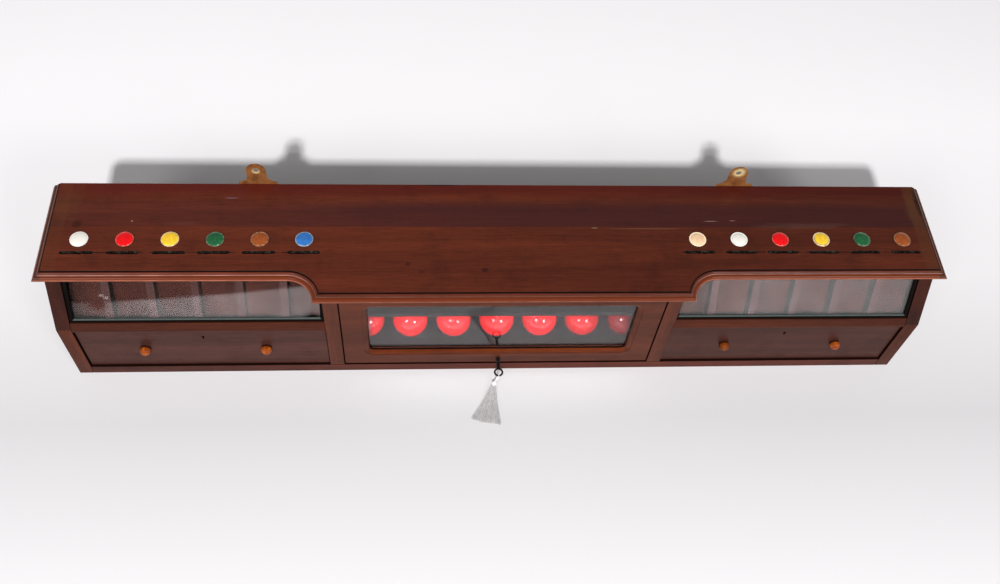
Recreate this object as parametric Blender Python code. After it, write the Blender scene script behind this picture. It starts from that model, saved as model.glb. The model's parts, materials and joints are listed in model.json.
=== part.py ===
"""Billiard scoreboard: a wall case with two coin magazines over two drawers, and a glazed
centre door over a rack of balls.

Metres, +Z up. The origin is on the underside, at the middle of the case; the front faces -Y.
"""
import math
from collections import namedtuple

import bmesh
import bpy
from mathutils import Matrix, Vector

# Fits that many pieces share
SEAT_GAP = 0.0003
CUT_OVERRUN = 0.0020
MERGE_DISTANCE = 0.000001

# Case
CASE_WIDTH = 1.1930
CASE_DEPTH = 0.1726
CASE_HEIGHT = 0.2060
KINK_HEIGHT = 0.1177
FRONT_LEAN_DEG = 24.4
SIDE_THICKNESS = 0.0195
BOTTOM_THICKNESS = 0.0170
BACK_THICKNESS = 0.0080
CENTRE_BAY_WIDTH = 0.4420
PARTITION_THICKNESS = 0.0200

# Top board and its moulded edge
TOP_THICKNESS = 0.0094
TOP_SIDE_OVERHANG = 0.0080
TOP_BAY_OVERHANG = 0.0207
TOP_CENTRE_OVERHANG = 0.0152
PROJECTION_MARGIN = 0.0099
MOULDING_WIDTH = 0.0105
COVE_STEPS = 8
OVOLO_STEPS = 5
FILLET_RISE_SHARE = 0.15
BAND_FOOT_SHARES = (0.10, 0.18)
BAND_HEAD_SHARES = (0.22, 0.40)
OVOLO_CENTRE_SHARES = (0.92, 0.42)
OVOLO_RADIUS_SHARES = (0.66, 0.38)

# Rail under each side window
RAIL_FACE_RISE = 0.0110
RAIL_LIP = 0.0057
RAIL_DEPTH = 0.0150

# Side windows, measured square to the sloping front
BEAD_SETBACK = 0.0008
BEAD_DEPTH = 0.0037
BEAD_WIDTH = 0.0060
GLASS_THICKNESS = 0.0020

# Coin magazine behind each side window
CELLS_PER_BAY = 6
DIVIDER_THICKNESS = 0.0105
COIN_SPACE = 0.0154
COIN_BACK_THICKNESS = 0.0080
COIN_BACK_LIFT = 0.0010
SLOT_WIDTH = 0.0050
SLOT_END_MARGIN = 0.0021
SLOT_PLACE_SHARE = 0.62

# Coloured disc behind each slot
DISC_DIAMETER = 0.0235
DISC_RISE = 0.0035
DISC_RIM_WIDTH = 0.0018
DISC_RIM_RISE = 0.0012
DISC_SETBACK = 0.0206
DISC_SIDES = 20
DISC_DOME_STEPS = 3

# Drawers
DRAWER_CLEARANCE = 0.0012
DRAWER_RECESS = 0.0035
DRAWER_FRONT_THICKNESS = 0.0120
DRAWER_WALL = 0.0080
DRAWER_BOX_DROP = 0.0108
DRAWER_BACK_SPACE = 0.0060
DRAWER_PANEL_THICKNESS = 0.0050
DRAWER_PANEL_LIFT = 0.0060
DRAWER_GROOVE_DEPTH = 0.0040

# Drawer knobs
KNOB_SPREAD = 0.1650
KNOB_RADIUS = 0.0077
KNOB_PROJECTION = 0.0120
KNOB_NECK_RADIUS = 0.0042
KNOB_FOOT_RADIUS = 0.0056
KNOB_TENON_RADIUS = 0.0030
KNOB_TENON_LENGTH = 0.0080
KNOB_SIDES = 20
KNOB_DOME_STEPS = 6

# Drawer lock, let into the back of the drawer front
DRAWER_LOCK_WIDTH = 0.0300
DRAWER_LOCK_HEIGHT = 0.0260
DRAWER_LOCK_DEPTH = 0.0075
DRAWER_LOCK_LET_IN = 0.0070
DRAWER_LOCK_PLATE = 0.0012
DRAWER_CHAMBER_RADIUS = 0.0055
DRAWER_KEYHOLE_DROP = 0.0180
DRAWER_KEYHOLE_RADIUS = 0.00225
DRAWER_KEYHOLE_SLOT_WIDTH = 0.0018
DRAWER_KEYHOLE_SLOT_DROP = 0.0052
DRAWER_BOLT_WIDTH = 0.0120
DRAWER_BOLT_THICKNESS = 0.0025
DRAWER_BOLT_HEIGHT = 0.0140
DRAWER_BOLT_TRAVEL = 0.0050

# Door
DOOR_SIDE_CLEARANCE = 0.0015
DOOR_TOP_CLEARANCE = 0.0015
DOOR_SILL_CLEARANCE = 0.0020
DOOR_RECESS = 0.0015
DOOR_THICKNESS = 0.0180
DOOR_STILE_WIDTH = 0.0280
DOOR_TOP_RAIL_HEIGHT = 0.0327
DOOR_BOTTOM_RAIL_HEIGHT = 0.0228
DOOR_CORNER_RADIUS = 0.0155
DOOR_CORNER_STEPS = 6
DOOR_MOULDING_WIDTH = 0.0080
DOOR_MOULDING_DEPTH = 0.0050
DOOR_MOULDING_STEPS = 5
DOOR_QUIRK_DEPTH = 0.0008
DOOR_LIP = 0.0011
DOOR_REBATE_WIDTH = 0.0050
DOOR_GLASS_THICKNESS = 0.0020
DOOR_BEAD_WIDTH = 0.0050
DOOR_BEAD_DEPTH = 0.0050

# Door hinges: two butt hinges under the top board
HINGE_INSET = 0.0795
HINGE_LENGTH = 0.0500
HINGE_LEAF_WIDTH = 0.0140
HINGE_LEAF_THICKNESS = 0.0012
HINGE_KNUCKLES = 5
KNUCKLE_RADIUS = 0.0026
KNUCKLE_CLEARANCE = 0.0004
PIN_RADIUS = 0.0010
HINGE_SIDES = 14

# Door lock and its key
DOOR_LOCK_WIDTH = 0.0440
DOOR_LOCK_HEIGHT = 0.0220
DOOR_LOCK_DEPTH = 0.0110
DOOR_LOCK_LET_IN = 0.0093
DOOR_LOCK_PLATE = 0.0015
DOOR_CHAMBER_RADIUS = 0.0093
DOOR_CHAMBER_DEPTH = 0.0050
DOOR_KEYHOLE_RISE = 0.0110
DOOR_KEYHOLE_RADIUS = 0.0026
DOOR_KEYHOLE_SLOT_WIDTH = 0.0026
DOOR_KEYHOLE_SLOT_DROP = 0.0092
DOOR_BOLT_WIDTH = 0.0160
DOOR_BOLT_THICKNESS = 0.0027
DOOR_BOLT_HEIGHT = 0.0140
DOOR_BOLT_TRAVEL = 0.0060
KEY_SHAFT_RADIUS = 0.0022
KEY_BIT_REACH = 0.0085
KEY_BIT_THICKNESS = 0.0020
KEY_COLLAR_RADIUS = 0.0036
KEY_COLLAR_WIDTH = 0.0022
KEY_COLLAR_STANDOFF = 0.0040
KEY_BOW_STANDOFF = 0.0239
KEY_BOW_RADIUS = 0.0056
KEY_BOW_BAR_RADIUS = 0.0014
KEY_SIDES = 16
KEY_BAR_SIDES = 8

# Tassel on the key: a cord loop, a bound head and a skirt that lies on the floor
LOOP_CORD_RADIUS = 0.0007
LOOP_SIDES = 6
LOOP_ARC_STEPS = 6
TASSEL_HEAD_RADIUS = 0.0040
TASSEL_HEAD_SHIFT = 0.0060
TASSEL_HEAD_LIFT_SHARE = 1.4
TASSEL_FLOOR_GAP = 0.0005
TASSEL_SKIRT_LENGTH = 0.0600
TASSEL_SKIRT_YAW_DEG = 15.0
TASSEL_SKIRT_SIDES = 14
TASSEL_SKIRT_STEPS = 8
TASSEL_SKIRT_ROOT_HALF_WIDTH = 0.0034
TASSEL_SKIRT_END_HALF_WIDTH = 0.0225
TASSEL_SKIRT_ROOT_HALF_DEPTH = 0.0032
TASSEL_SKIRT_END_HALF_DEPTH = 0.0018
TASSEL_SKIRT_FLARE_SHARE = 1.3

# Behind the door: a shelf, and a rack that holds a row of balls
SHELF_HEIGHT = 0.1170
SHELF_THICKNESS = 0.0080
BALL_COUNT = 7
BALL_DIAMETER = 0.0525
BALL_HOLE_DIAMETER = 0.0400
BALL_SETBACK = 0.0606
BALL_UNDER_CLEARANCE = 0.0012
BALL_SEGMENTS = 20
BALL_RINGS = 12
BALL_HOLE_SIDES = 24
RACK_DEPTH = 0.0700

# Hanging plates on the back
PLATE_SPREAD = 0.6640
PLATE_THICKNESS = 0.0022
PLATE_TAB_RADIUS = 0.0130
PLATE_FLARE_RADIUS = 0.0128
PLATE_NECK_HEIGHT = 0.0116
PLATE_SHOULDER_RISE = 0.0022
PLATE_BODY_LENGTH = 0.0526
PLATE_HOLE_RADIUS = 0.0040
PLATE_COUNTERSINK_RADIUS = 0.0065
PLATE_COUNTERSINK_DEPTH = 0.0012
PLATE_ARC_STEPS = 6
SCREW_SPREAD = 0.0320
SCREW_HEIGHT_SHARE = 0.35
SCREW_HOLE_RADIUS = 0.0023
SCREW_HOLE_SIDES = 12

# Angle past which two faces meet in a crisp edge
CRISP_ANGLE_DEG = 35.0

# Places worked out from the sizes
LEAN = math.radians(FRONT_LEAN_DEG)
FRONT_Y = -CASE_DEPTH / 2
BACK_Y = CASE_DEPTH / 2
SIDE_INNER_X = CASE_WIDTH / 2 - SIDE_THICKNESS
PARTITION_INNER_X = CENTRE_BAY_WIDTH / 2
PARTITION_OUTER_X = PARTITION_INNER_X + PARTITION_THICKNESS
BAY_WIDTH = SIDE_INNER_X - PARTITION_OUTER_X
BAY_X = (SIDE_INNER_X + PARTITION_OUTER_X) / 2
BACK_BOARD_FRONT_Y = BACK_Y - BACK_THICKNESS
BOARD_TOP_Z = CASE_HEIGHT - SEAT_GAP
TOP_Z = CASE_HEIGHT + TOP_THICKNESS

RAIL_BOTTOM_Z = KINK_HEIGHT - RAIL_LIP
RAIL_BACK_Y = FRONT_Y + RAIL_DEPTH
GLASS_FRONT_IN = BEAD_SETBACK + BEAD_DEPTH + SEAT_GAP
GLASS_BACK_IN = GLASS_FRONT_IN + GLASS_THICKNESS
DIVIDER_FRONT_IN = GLASS_BACK_IN + SEAT_GAP
COIN_BACK_FRONT_IN = DIVIDER_FRONT_IN + COIN_SPACE
COIN_BACK_REAR_IN = COIN_BACK_FRONT_IN + COIN_BACK_THICKNESS
COIN_BACK_FOOT_Z = RAIL_BOTTOM_Z + COIN_BACK_LIFT
CELL_WIDTH = (BAY_WIDTH - (CELLS_PER_BAY - 1) * DIVIDER_THICKNESS) / CELLS_PER_BAY
CELL_PITCH = CELL_WIDTH + DIVIDER_THICKNESS

DRAWER_FACE_Y = FRONT_Y + DRAWER_RECESS
DRAWER_FRONT_BACK_Y = DRAWER_FACE_Y + DRAWER_FRONT_THICKNESS
DRAWER_BOX_FRONT_Y = DRAWER_FRONT_BACK_Y + SEAT_GAP
DRAWER_BOX_BACK_Y = BACK_BOARD_FRONT_Y - DRAWER_BACK_SPACE
DRAWER_HALF_WIDTH = BAY_WIDTH / 2 - DRAWER_CLEARANCE
DRAWER_FOOT_Z = BOTTOM_THICKNESS + SEAT_GAP
DRAWER_FRONT_FOOT_Z = BOTTOM_THICKNESS + DRAWER_CLEARANCE
DRAWER_FRONT_TOP_Z = RAIL_BOTTOM_Z - DRAWER_CLEARANCE
DRAWER_BOX_TOP_Z = DRAWER_FRONT_TOP_Z - DRAWER_BOX_DROP
DRAWER_MID_Z = (DRAWER_FRONT_FOOT_Z + DRAWER_FRONT_TOP_Z) / 2
DRAWER_LOCK_TOP_Z = DRAWER_FRONT_TOP_Z - SEAT_GAP
DRAWER_LOCK_FRONT_Y = DRAWER_FRONT_BACK_Y - DRAWER_LOCK_LET_IN + SEAT_GAP
DRAWER_KEYHOLE_Z = DRAWER_LOCK_TOP_Z - DRAWER_KEYHOLE_DROP
DRAWER_BOLT_Y = DRAWER_LOCK_FRONT_Y + DRAWER_LOCK_PLATE + SEAT_GAP + DRAWER_BOLT_THICKNESS / 2

DOOR_HALF_WIDTH = PARTITION_INNER_X - DOOR_SIDE_CLEARANCE
DOOR_TOP_Z = CASE_HEIGHT - DOOR_TOP_CLEARANCE
DOOR_FOOT_Z = BOTTOM_THICKNESS + DOOR_SILL_CLEARANCE
DOOR_FACE_Y = FRONT_Y + DOOR_RECESS
DOOR_BACK_Y = DOOR_FACE_Y + DOOR_THICKNESS
DOOR_REBATE_Y = DOOR_FACE_Y + DOOR_QUIRK_DEPTH + DOOR_MOULDING_DEPTH + DOOR_LIP
DOOR_GLASS_Y = DOOR_REBATE_Y + SEAT_GAP
DOOR_BEAD_Y = DOOR_GLASS_Y + DOOR_GLASS_THICKNESS + SEAT_GAP
HINGE_Y = DOOR_FACE_Y - KNUCKLE_RADIUS - SEAT_GAP
HINGE_Z = CASE_HEIGHT - DOOR_TOP_CLEARANCE / 2
HINGE_ROOT_Y = HINGE_Y + KNUCKLE_RADIUS + KNUCKLE_CLEARANCE
HINGE_LEAF_END_Y = HINGE_ROOT_Y + HINGE_LEAF_WIDTH

DOOR_LOCK_FOOT_Z = DOOR_FOOT_Z + SEAT_GAP
DOOR_LOCK_FRONT_Y = DOOR_BACK_Y - DOOR_LOCK_LET_IN + SEAT_GAP
DOOR_CHAMBER_Y = DOOR_LOCK_FRONT_Y + DOOR_LOCK_PLATE
DOOR_BOLT_Y = DOOR_CHAMBER_Y + DOOR_CHAMBER_DEPTH + SEAT_GAP + DOOR_BOLT_THICKNESS / 2
DOOR_BOLT_FOOT_Z = DOOR_LOCK_FOOT_Z
KEY_Z = DOOR_LOCK_FOOT_Z + DOOR_KEYHOLE_RISE
KEY_TIP_Y = DOOR_CHAMBER_Y + DOOR_CHAMBER_DEPTH - 2 * SEAT_GAP
KEY_BIT_FRONT_Y = DOOR_CHAMBER_Y + 2 * SEAT_GAP
KEY_COLLAR_Y = DOOR_FACE_Y - KEY_COLLAR_STANDOFF
KEY_BOW_Y = DOOR_FACE_Y - KEY_BOW_STANDOFF
TASSEL_BAR_Y = KEY_BOW_Y - KEY_BOW_RADIUS

SHELF_FRONT_Y = DOOR_BACK_Y + SEAT_GAP
BALL_RADIUS = BALL_DIAMETER / 2
BALL_PITCH = CENTRE_BAY_WIDTH / BALL_COUNT
BALL_Y = FRONT_Y + BALL_SETBACK
BALL_SEAT_RISE = math.sqrt((BALL_RADIUS + SEAT_GAP) ** 2 - (BALL_HOLE_DIAMETER / 2) ** 2)
BALL_Z = BOTTOM_THICKNESS + BALL_UNDER_CLEARANCE + BALL_RADIUS
RACK_TOP_Z = BALL_Z - BALL_SEAT_RISE

PLATE_FRONT_Y = BACK_Y + SEAT_GAP
PLATE_BACK_Y = PLATE_FRONT_Y + PLATE_THICKNESS
PLATE_SHOULDER_Z = TOP_Z + PLATE_SHOULDER_RISE
PLATE_FOOT_Z = PLATE_SHOULDER_Z - PLATE_BODY_LENGTH
PLATE_EYE_Z = PLATE_SHOULDER_Z + PLATE_FLARE_RADIUS + PLATE_NECK_HEIGHT
PLATE_BODY_HALF_WIDTH = PLATE_TAB_RADIUS + PLATE_FLARE_RADIUS
SCREW_Z = PLATE_FOOT_Z + PLATE_BODY_LENGTH * SCREW_HEIGHT_SHARE

SIDES = (("left", -1), ("right", 1))
DISC_COLOURS = {
    "left": ("white", "red", "yellow", "green", "brown", "blue"),
    "right": ("cream", "white", "red", "yellow", "green", "brown"),
}

Pivot = namedtuple("Pivot", "empty place")


# Materials

def finish(name, colour, roughness, metallic=0.0, alpha=1.0):
    """Principled material with a colour written as display red, green and blue."""
    material = bpy.data.materials.new(name)
    material.use_nodes = True
    shader = material.node_tree.nodes["Principled BSDF"]
    linear = [channel ** 2.2 for channel in colour]
    shader.inputs["Base Color"].default_value = (*linear, 1.0)
    shader.inputs["Roughness"].default_value = roughness
    shader.inputs["Metallic"].default_value = metallic
    shader.inputs["Alpha"].default_value = alpha
    return material


def make_finishes():
    """Every material of the scoreboard, by slot name."""
    return {
        "polished_top": finish("polished_top", (0.37, 0.16, 0.13), 0.15),
        "case_wood": finish("case_wood", (0.38, 0.21, 0.17), 0.25),
        "door_wood": finish("door_wood", (0.35, 0.20, 0.17), 0.25),
        "drawer_wood": finish("drawer_wood", (0.33, 0.21, 0.19), 0.25),
        "inner_wood": finish("inner_wood", (0.40, 0.28, 0.21), 0.55),
        "back_wood": finish("back_wood", (0.45, 0.33, 0.24), 0.7),
        "turned_wood": finish("turned_wood", (0.69, 0.35, 0.13), 0.3),
        "black_bead": finish("black_bead", (0.07, 0.06, 0.06), 0.4),
        "window_glass": finish("window_glass", (0.90, 0.92, 0.91), 0.02, alpha=0.25),
        "door_glass": finish("door_glass", (0.90, 0.92, 0.91), 0.02, alpha=0.25),
        "dark_shelf": finish("dark_shelf", (0.34, 0.33, 0.33), 0.5),
        "dark_brass": finish("dark_brass", (0.55, 0.33, 0.18), 0.35, metallic=1.0),
        "hinge_brass": finish("hinge_brass", (0.62, 0.47, 0.25), 0.35, metallic=1.0),
        "lock_steel": finish("lock_steel", (0.45, 0.44, 0.43), 0.4, metallic=1.0),
        "black_iron": finish("black_iron", (0.12, 0.11, 0.11), 0.5, metallic=1.0),
        "red_ball": finish("red_ball", (0.86, 0.20, 0.22), 0.12),
        "tassel_silk": finish("tassel_silk", (0.74, 0.73, 0.72), 0.6),
        "white_disc": finish("white_disc", (0.86, 0.84, 0.80), 0.2),
        "cream_disc": finish("cream_disc", (0.85, 0.78, 0.62), 0.2),
        "red_disc": finish("red_disc", (0.78, 0.13, 0.12), 0.2),
        "yellow_disc": finish("yellow_disc", (0.87, 0.66, 0.14), 0.2),
        "green_disc": finish("green_disc", (0.12, 0.42, 0.27), 0.2),
        "brown_disc": finish("brown_disc", (0.38, 0.20, 0.12), 0.2),
        "blue_disc": finish("blue_disc", (0.13, 0.25, 0.55), 0.2),
    }


# Solid making

def on_axis(axis, flat, along):
    """World point of an outline point that lies so far along an axis."""
    if axis == "X":
        return (along, flat[0], flat[1])
    if axis == "Y":
        return (flat[0], along, flat[1])
    return (flat[0], flat[1], along)


def extrusion(outline, axis, low, high):
    """Flat outline drawn out along an axis."""
    solid = bmesh.new()
    base = [solid.verts.new(on_axis(axis, point, low)) for point in outline]
    grown = bmesh.ops.extrude_face_region(solid, geom=[solid.faces.new(base)])
    moved = [item for item in grown["geom"] if isinstance(item, bmesh.types.BMVert)]
    bmesh.ops.translate(solid, verts=moved, vec=on_axis(axis, (0, 0), high - low))
    bmesh.ops.recalc_face_normals(solid, faces=solid.faces)
    return solid


def block(x_span, y_span, z_span):
    """Square-edged board between three spans."""
    (x_low, x_high), (y_low, y_high) = x_span, y_span
    outline = [(x_low, y_low), (x_high, y_low), (x_high, y_high), (x_low, y_high)]
    return extrusion(outline, "Z", *z_span)


def span(middle, width):
    """Low and high end of a width about its middle."""
    return (middle - width / 2, middle + width / 2)


def lofted(rings):
    """Solid through rings of points that match one to one, closed at both ends."""
    solid = bmesh.new()
    rows = [[solid.verts.new(point) for point in ring] for ring in rings]
    count = len(rows[0])
    for lower, upper in zip(rows, rows[1:]):
        for here in range(count):
            there = (here + 1) % count
            solid.faces.new((lower[here], lower[there], upper[there], upper[here]))
    solid.faces.new(rows[0])
    solid.faces.new(rows[-1])
    bmesh.ops.recalc_face_normals(solid, faces=solid.faces)
    return solid


def turned(profile, sides, ring=False):
    """Solid of revolution about +Z from points of radius and height."""
    solid = bmesh.new()
    chain = [solid.verts.new((radius, 0, height)) for radius, height in profile]
    edges = [solid.edges.new(pair) for pair in zip(chain, chain[1:])]
    if ring:
        edges.append(solid.edges.new((chain[-1], chain[0])))
    bmesh.ops.spin(solid, geom=chain + edges, cent=(0, 0, 0), axis=(0, 0, 1), dvec=(0, 0, 0),
                   angle=math.tau, steps=sides, use_merge=True)
    bmesh.ops.remove_doubles(solid, verts=solid.verts, dist=MERGE_DISTANCE)
    bmesh.ops.recalc_face_normals(solid, faces=solid.faces)
    return solid


def swept_tube(path, radius, sides):
    """Round tube along a path that bends in one upright plane or nearly so."""
    rings = []
    for index, point in enumerate(path):
        before = path[max(index - 1, 0)]
        after = path[min(index + 1, len(path) - 1)]
        along = (after - before).normalized()
        across = Vector((1, 0, 0))
        across = (across - along * across.dot(along)).normalized()
        other = along.cross(across)
        turns = [math.tau * step / sides for step in range(sides)]
        rings.append([point + radius * (across * math.cos(turn) + other * math.sin(turn))
                      for turn in turns])
    return lofted(rings)


def placed(solid, place, turn=None):
    """Solid after an optional turn about its origin and a move."""
    if turn is not None:
        bmesh.ops.transform(solid, matrix=turn, verts=solid.verts)
    bmesh.ops.translate(solid, verts=solid.verts, vec=place)
    return solid


def gathered(solids):
    """Several separate solids in one mesh."""
    group = bmesh.new()
    for solid in solids:
        mesh = bpy.data.meshes.new("gathered")
        solid.to_mesh(mesh)
        solid.free()
        group.from_mesh(mesh)
        bpy.data.meshes.remove(mesh)
    return group


def loose_object(solid):
    """Unnamed object that carries a solid into a Boolean."""
    mesh = bpy.data.meshes.new("loose")
    solid.to_mesh(mesh)
    solid.free()
    carrier = bpy.data.objects.new("loose", mesh)
    bpy.context.collection.objects.link(carrier)
    return carrier


def worked(solid, tools, operation):
    """Solid after a Boolean with each tool in turn."""
    target = loose_object(solid)
    helpers = [loose_object(tool) for tool in tools]
    for helper in helpers:
        modifier = target.modifiers.new("boolean", "BOOLEAN")
        modifier.operation = operation
        modifier.object = helper
    result = bmesh.new()
    result.from_object(target, bpy.context.evaluated_depsgraph_get())
    for used in (target, *helpers):
        mesh = used.data
        bpy.data.objects.remove(used)
        bpy.data.meshes.remove(mesh)
    return result


def cut(solid, *tools):
    """Solid with the tools cut away."""
    return worked(solid, tools, "DIFFERENCE")


def fused(solid, *tools):
    """Solid joined with the tools into one body."""
    return worked(solid, tools, "UNION")


def pivot(name, place, carrier=None):
    """Empty on a joint's axis, with its place in the world."""
    empty = bpy.data.objects.new(name, None)
    bpy.context.collection.objects.link(empty)
    start = Vector((0, 0, 0))
    if carrier is not None:
        empty.parent = carrier.empty
        start = carrier.place
    empty.location = Vector(place) - start
    return Pivot(empty, Vector(place))


def piece(name, solid, material, place, carrier=None, smooth=False):
    """Named piece whose origin is at a place, carried by a pivot when it moves."""
    mesh = bpy.data.meshes.new(name)
    bmesh.ops.translate(solid, verts=solid.verts, vec=-Vector(place))
    solid.to_mesh(mesh)
    solid.free()
    mesh.materials.append(material)
    if smooth:
        mesh.shade_smooth()
        mesh.set_sharp_from_angle(angle=math.radians(CRISP_ANGLE_DEG))
    body = bpy.data.objects.new(name, mesh)
    bpy.context.collection.objects.link(body)
    start = Vector((0, 0, 0))
    if carrier is not None:
        body.parent = carrier.empty
        start = carrier.place
    body.location = Vector(place) - start
    return body


# Outlines

def slope_point(up, inward):
    """Depth and height of a point up the sloping front and square to it."""
    depth = FRONT_Y + up * math.sin(LEAN) + inward * math.cos(LEAN)
    height = KINK_HEIGHT + up * math.cos(LEAN) - inward * math.sin(LEAN)
    return (depth, height)


def slope_rise(inward, height):
    """How far up the slope a plane at this distance inward reaches a height."""
    return (height - KINK_HEIGHT + inward * math.sin(LEAN)) / math.cos(LEAN)


def slope_at_height(inward, height):
    """Depth and height where a plane inside the slope reaches a height."""
    return slope_point(slope_rise(inward, height), inward)


def arc(centre, radius, start_deg, end_deg, steps):
    """Points along a round stretch, both ends included."""
    points = []
    for step in range(steps + 1):
        turn = math.radians(start_deg + (end_deg - start_deg) * step / steps)
        points.append((centre[0] + radius * math.cos(turn), centre[1] + radius * math.sin(turn)))
    return points


def rounded_rectangle(x_span, z_span, radius, steps):
    """Rectangle with round corners."""
    corners = (
        (x_span[1] - radius, z_span[1] - radius, 0),
        (x_span[0] + radius, z_span[1] - radius, 90),
        (x_span[0] + radius, z_span[0] + radius, 180),
        (x_span[1] - radius, z_span[0] + radius, 270),
    )
    points = []
    for x, z, start in corners:
        points += arc((x, z), radius, start, start + 90, steps)
    return points


def keyhole_outline(middle, radius, slot_width, slot_drop):
    """Round hole with a straight slot below it."""
    edge_deg = math.degrees(math.asin(slot_width / 2 / radius))
    points = arc(middle, radius, edge_deg - 90, 270 - edge_deg, KEY_SIDES)
    foot_z = middle[1] - slot_drop
    points.append((middle[0] - slot_width / 2, foot_z))
    points.append((middle[0] + slot_width / 2, foot_z))
    return points


def cell_centres(side):
    """Middle of each coin cell of a bay, from the door outwards."""
    first = PARTITION_OUTER_X + CELL_WIDTH / 2
    return [side * (first + CELL_PITCH * index) for index in range(CELLS_PER_BAY)]


def side_name(side_label, part):
    """Name of a piece that each side has."""
    return f"{side_label}_{part}"


# Case

def make_side(label, side, material):
    """End board, cut to the kinked front."""
    outline = [
        (BACK_Y, 0),
        (FRONT_Y, 0),
        (FRONT_Y, KINK_HEIGHT),
        slope_at_height(0, BOARD_TOP_Z),
        (BACK_Y, BOARD_TOP_Z),
    ]
    faces = sorted((side * SIDE_INNER_X, side * CASE_WIDTH / 2))
    solid = extrusion(outline, "X", *faces)
    piece(side_name(label, "side"), solid, material, (side * SIDE_INNER_X, 0, 0))


def make_bottom_board(material):
    """Floor board between the ends, with the mortise that the door's bolt drops into."""
    inner = SIDE_INNER_X - SEAT_GAP
    board = block((-inner, inner), (FRONT_Y, BACK_BOARD_FRONT_Y - SEAT_GAP), (0, BOTTOM_THICKNESS))
    foot = DOOR_BOLT_FOOT_Z - DOOR_BOLT_TRAVEL - DOOR_SILL_CLEARANCE / 2
    mortise = block(span(0, DOOR_BOLT_WIDTH + 4 * SEAT_GAP),
                    span(DOOR_BOLT_Y, DOOR_BOLT_THICKNESS + 4 * SEAT_GAP),
                    (foot, BOTTOM_THICKNESS + CUT_OVERRUN))
    piece("bottom_board", cut(board, mortise), material, (0, 0, 0))


def make_back_board(material):
    """Back board between the ends."""
    inner = SIDE_INNER_X - SEAT_GAP
    board = block((-inner, inner), (BACK_BOARD_FRONT_Y, BACK_Y), (0, BOARD_TOP_Z))
    piece("back_board", board, material, (0, BACK_BOARD_FRONT_Y, 0))


def make_partition(label, side, material):
    """Upright board between the door and a side bay."""
    faces = sorted((side * PARTITION_INNER_X, side * PARTITION_OUTER_X))
    solid = block(faces, (FRONT_Y, BACK_BOARD_FRONT_Y - SEAT_GAP),
                  (BOTTOM_THICKNESS + SEAT_GAP, BOARD_TOP_Z))
    piece(side_name(label, "partition"), solid, material, (side * PARTITION_INNER_X, 0, 0))


def bore(x, z, radius, sides, y_low, y_high):
    """Round cutter along Y."""
    return extrusion(arc((x, z), radius, 0, 360 - 360 / sides, sides - 1), "Y", y_low, y_high)


# Top board

def top_outline(inset):
    """Plan of the top board, drawn in from its edge on the front and the ends."""
    half = CASE_WIDTH / 2 + TOP_SIDE_OVERHANG - inset
    bay_front = slope_at_height(0, CASE_HEIGHT)[0] - TOP_BAY_OVERHANG
    centre_front = FRONT_Y - TOP_CENTRE_OVERHANG
    cove = bay_front - centre_front
    cove_x = PARTITION_OUTER_X + PROJECTION_MARGIN + cove
    radius = cove + inset
    mitre_deg = math.degrees(math.asin(inset / radius))
    right = arc((cove_x, centre_front), radius, 90, 180 - mitre_deg, COVE_STEPS)
    left = [(-x, y) for x, y in reversed(right)]
    bay_edge = bay_front + inset
    front = [(half, bay_edge), *right, *left, (-half, bay_edge)]
    return [(half, BACK_Y), *front, (-half, BACK_Y)]


def moulding_profile():
    """Inset and rise of the edge moulding, from the underside to the flat."""
    shares = [(0, 0), (0, FILLET_RISE_SHARE), BAND_FOOT_SHARES, BAND_HEAD_SHARES]
    centre_in, centre_up = OVOLO_CENTRE_SHARES
    radius_in, radius_up = OVOLO_RADIUS_SHARES
    for step in range(OVOLO_STEPS + 1):
        turn = math.pi / 2 * step / OVOLO_STEPS
        shares.append((centre_in - radius_in * math.cos(turn), centre_up + radius_up * math.sin(turn)))
    shares += [(1, centre_up + radius_up), (1, 1)]
    return [(inset * MOULDING_WIDTH, rise * TOP_THICKNESS) for inset, rise in shares]


def slot_y():
    """Depth of the coin slots, between the window and the board behind the coins."""
    window = slope_at_height(GLASS_BACK_IN, CASE_HEIGHT)[0]
    behind = slope_at_height(COIN_BACK_FRONT_IN, CASE_HEIGHT)[0]
    return window + (behind - window) * SLOT_PLACE_SHARE


def slot_cutters():
    """One cutter for each coin slot."""
    length = CELL_WIDTH - 2 * SLOT_END_MARGIN
    return [block(span(x, length), span(slot_y(), SLOT_WIDTH),
                  (CASE_HEIGHT - CUT_OVERRUN, TOP_Z + CUT_OVERRUN))
            for _, side in SIDES for x in cell_centres(side)]


def hinge_places():
    """Middle of each hinge along the door's top edge."""
    place = DOOR_HALF_WIDTH - HINGE_INSET
    return (-place, place)


def hinge_recesses(z_span):
    """Cutters that let the hinge leaves into a board."""
    return [block(span(x, HINGE_LENGTH + 2 * SEAT_GAP), (HINGE_Y, HINGE_LEAF_END_Y + SEAT_GAP), z_span)
            for x in hinge_places()]


def knuckle_recesses():
    """Cutters that clear the hinge knuckles."""
    radius = KNUCKLE_RADIUS + KNUCKLE_CLEARANCE
    outline = arc((HINGE_Y, HINGE_Z), radius, 0, 360 - 360 / HINGE_SIDES, HINGE_SIDES - 1)
    return [extrusion(outline, "X", *span(x, HINGE_LENGTH + 2 * KNUCKLE_CLEARANCE)) for x in hinge_places()]


def flat_backed(rows):
    """Solid through open rows of points whose ends all lie on one flat back."""
    solid = bmesh.new()
    lines = [[solid.verts.new(point) for point in row] for row in rows]
    for lower, upper in zip(lines, lines[1:]):
        for here in range(len(lower) - 1):
            solid.faces.new((lower[here], lower[here + 1], upper[here + 1], upper[here]))
    solid.faces.new(lines[0])
    solid.faces.new(lines[-1])
    solid.faces.new([line[0] for line in lines] + [line[-1] for line in reversed(lines)])
    bmesh.ops.recalc_face_normals(solid, faces=solid.faces)
    return solid


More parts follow.
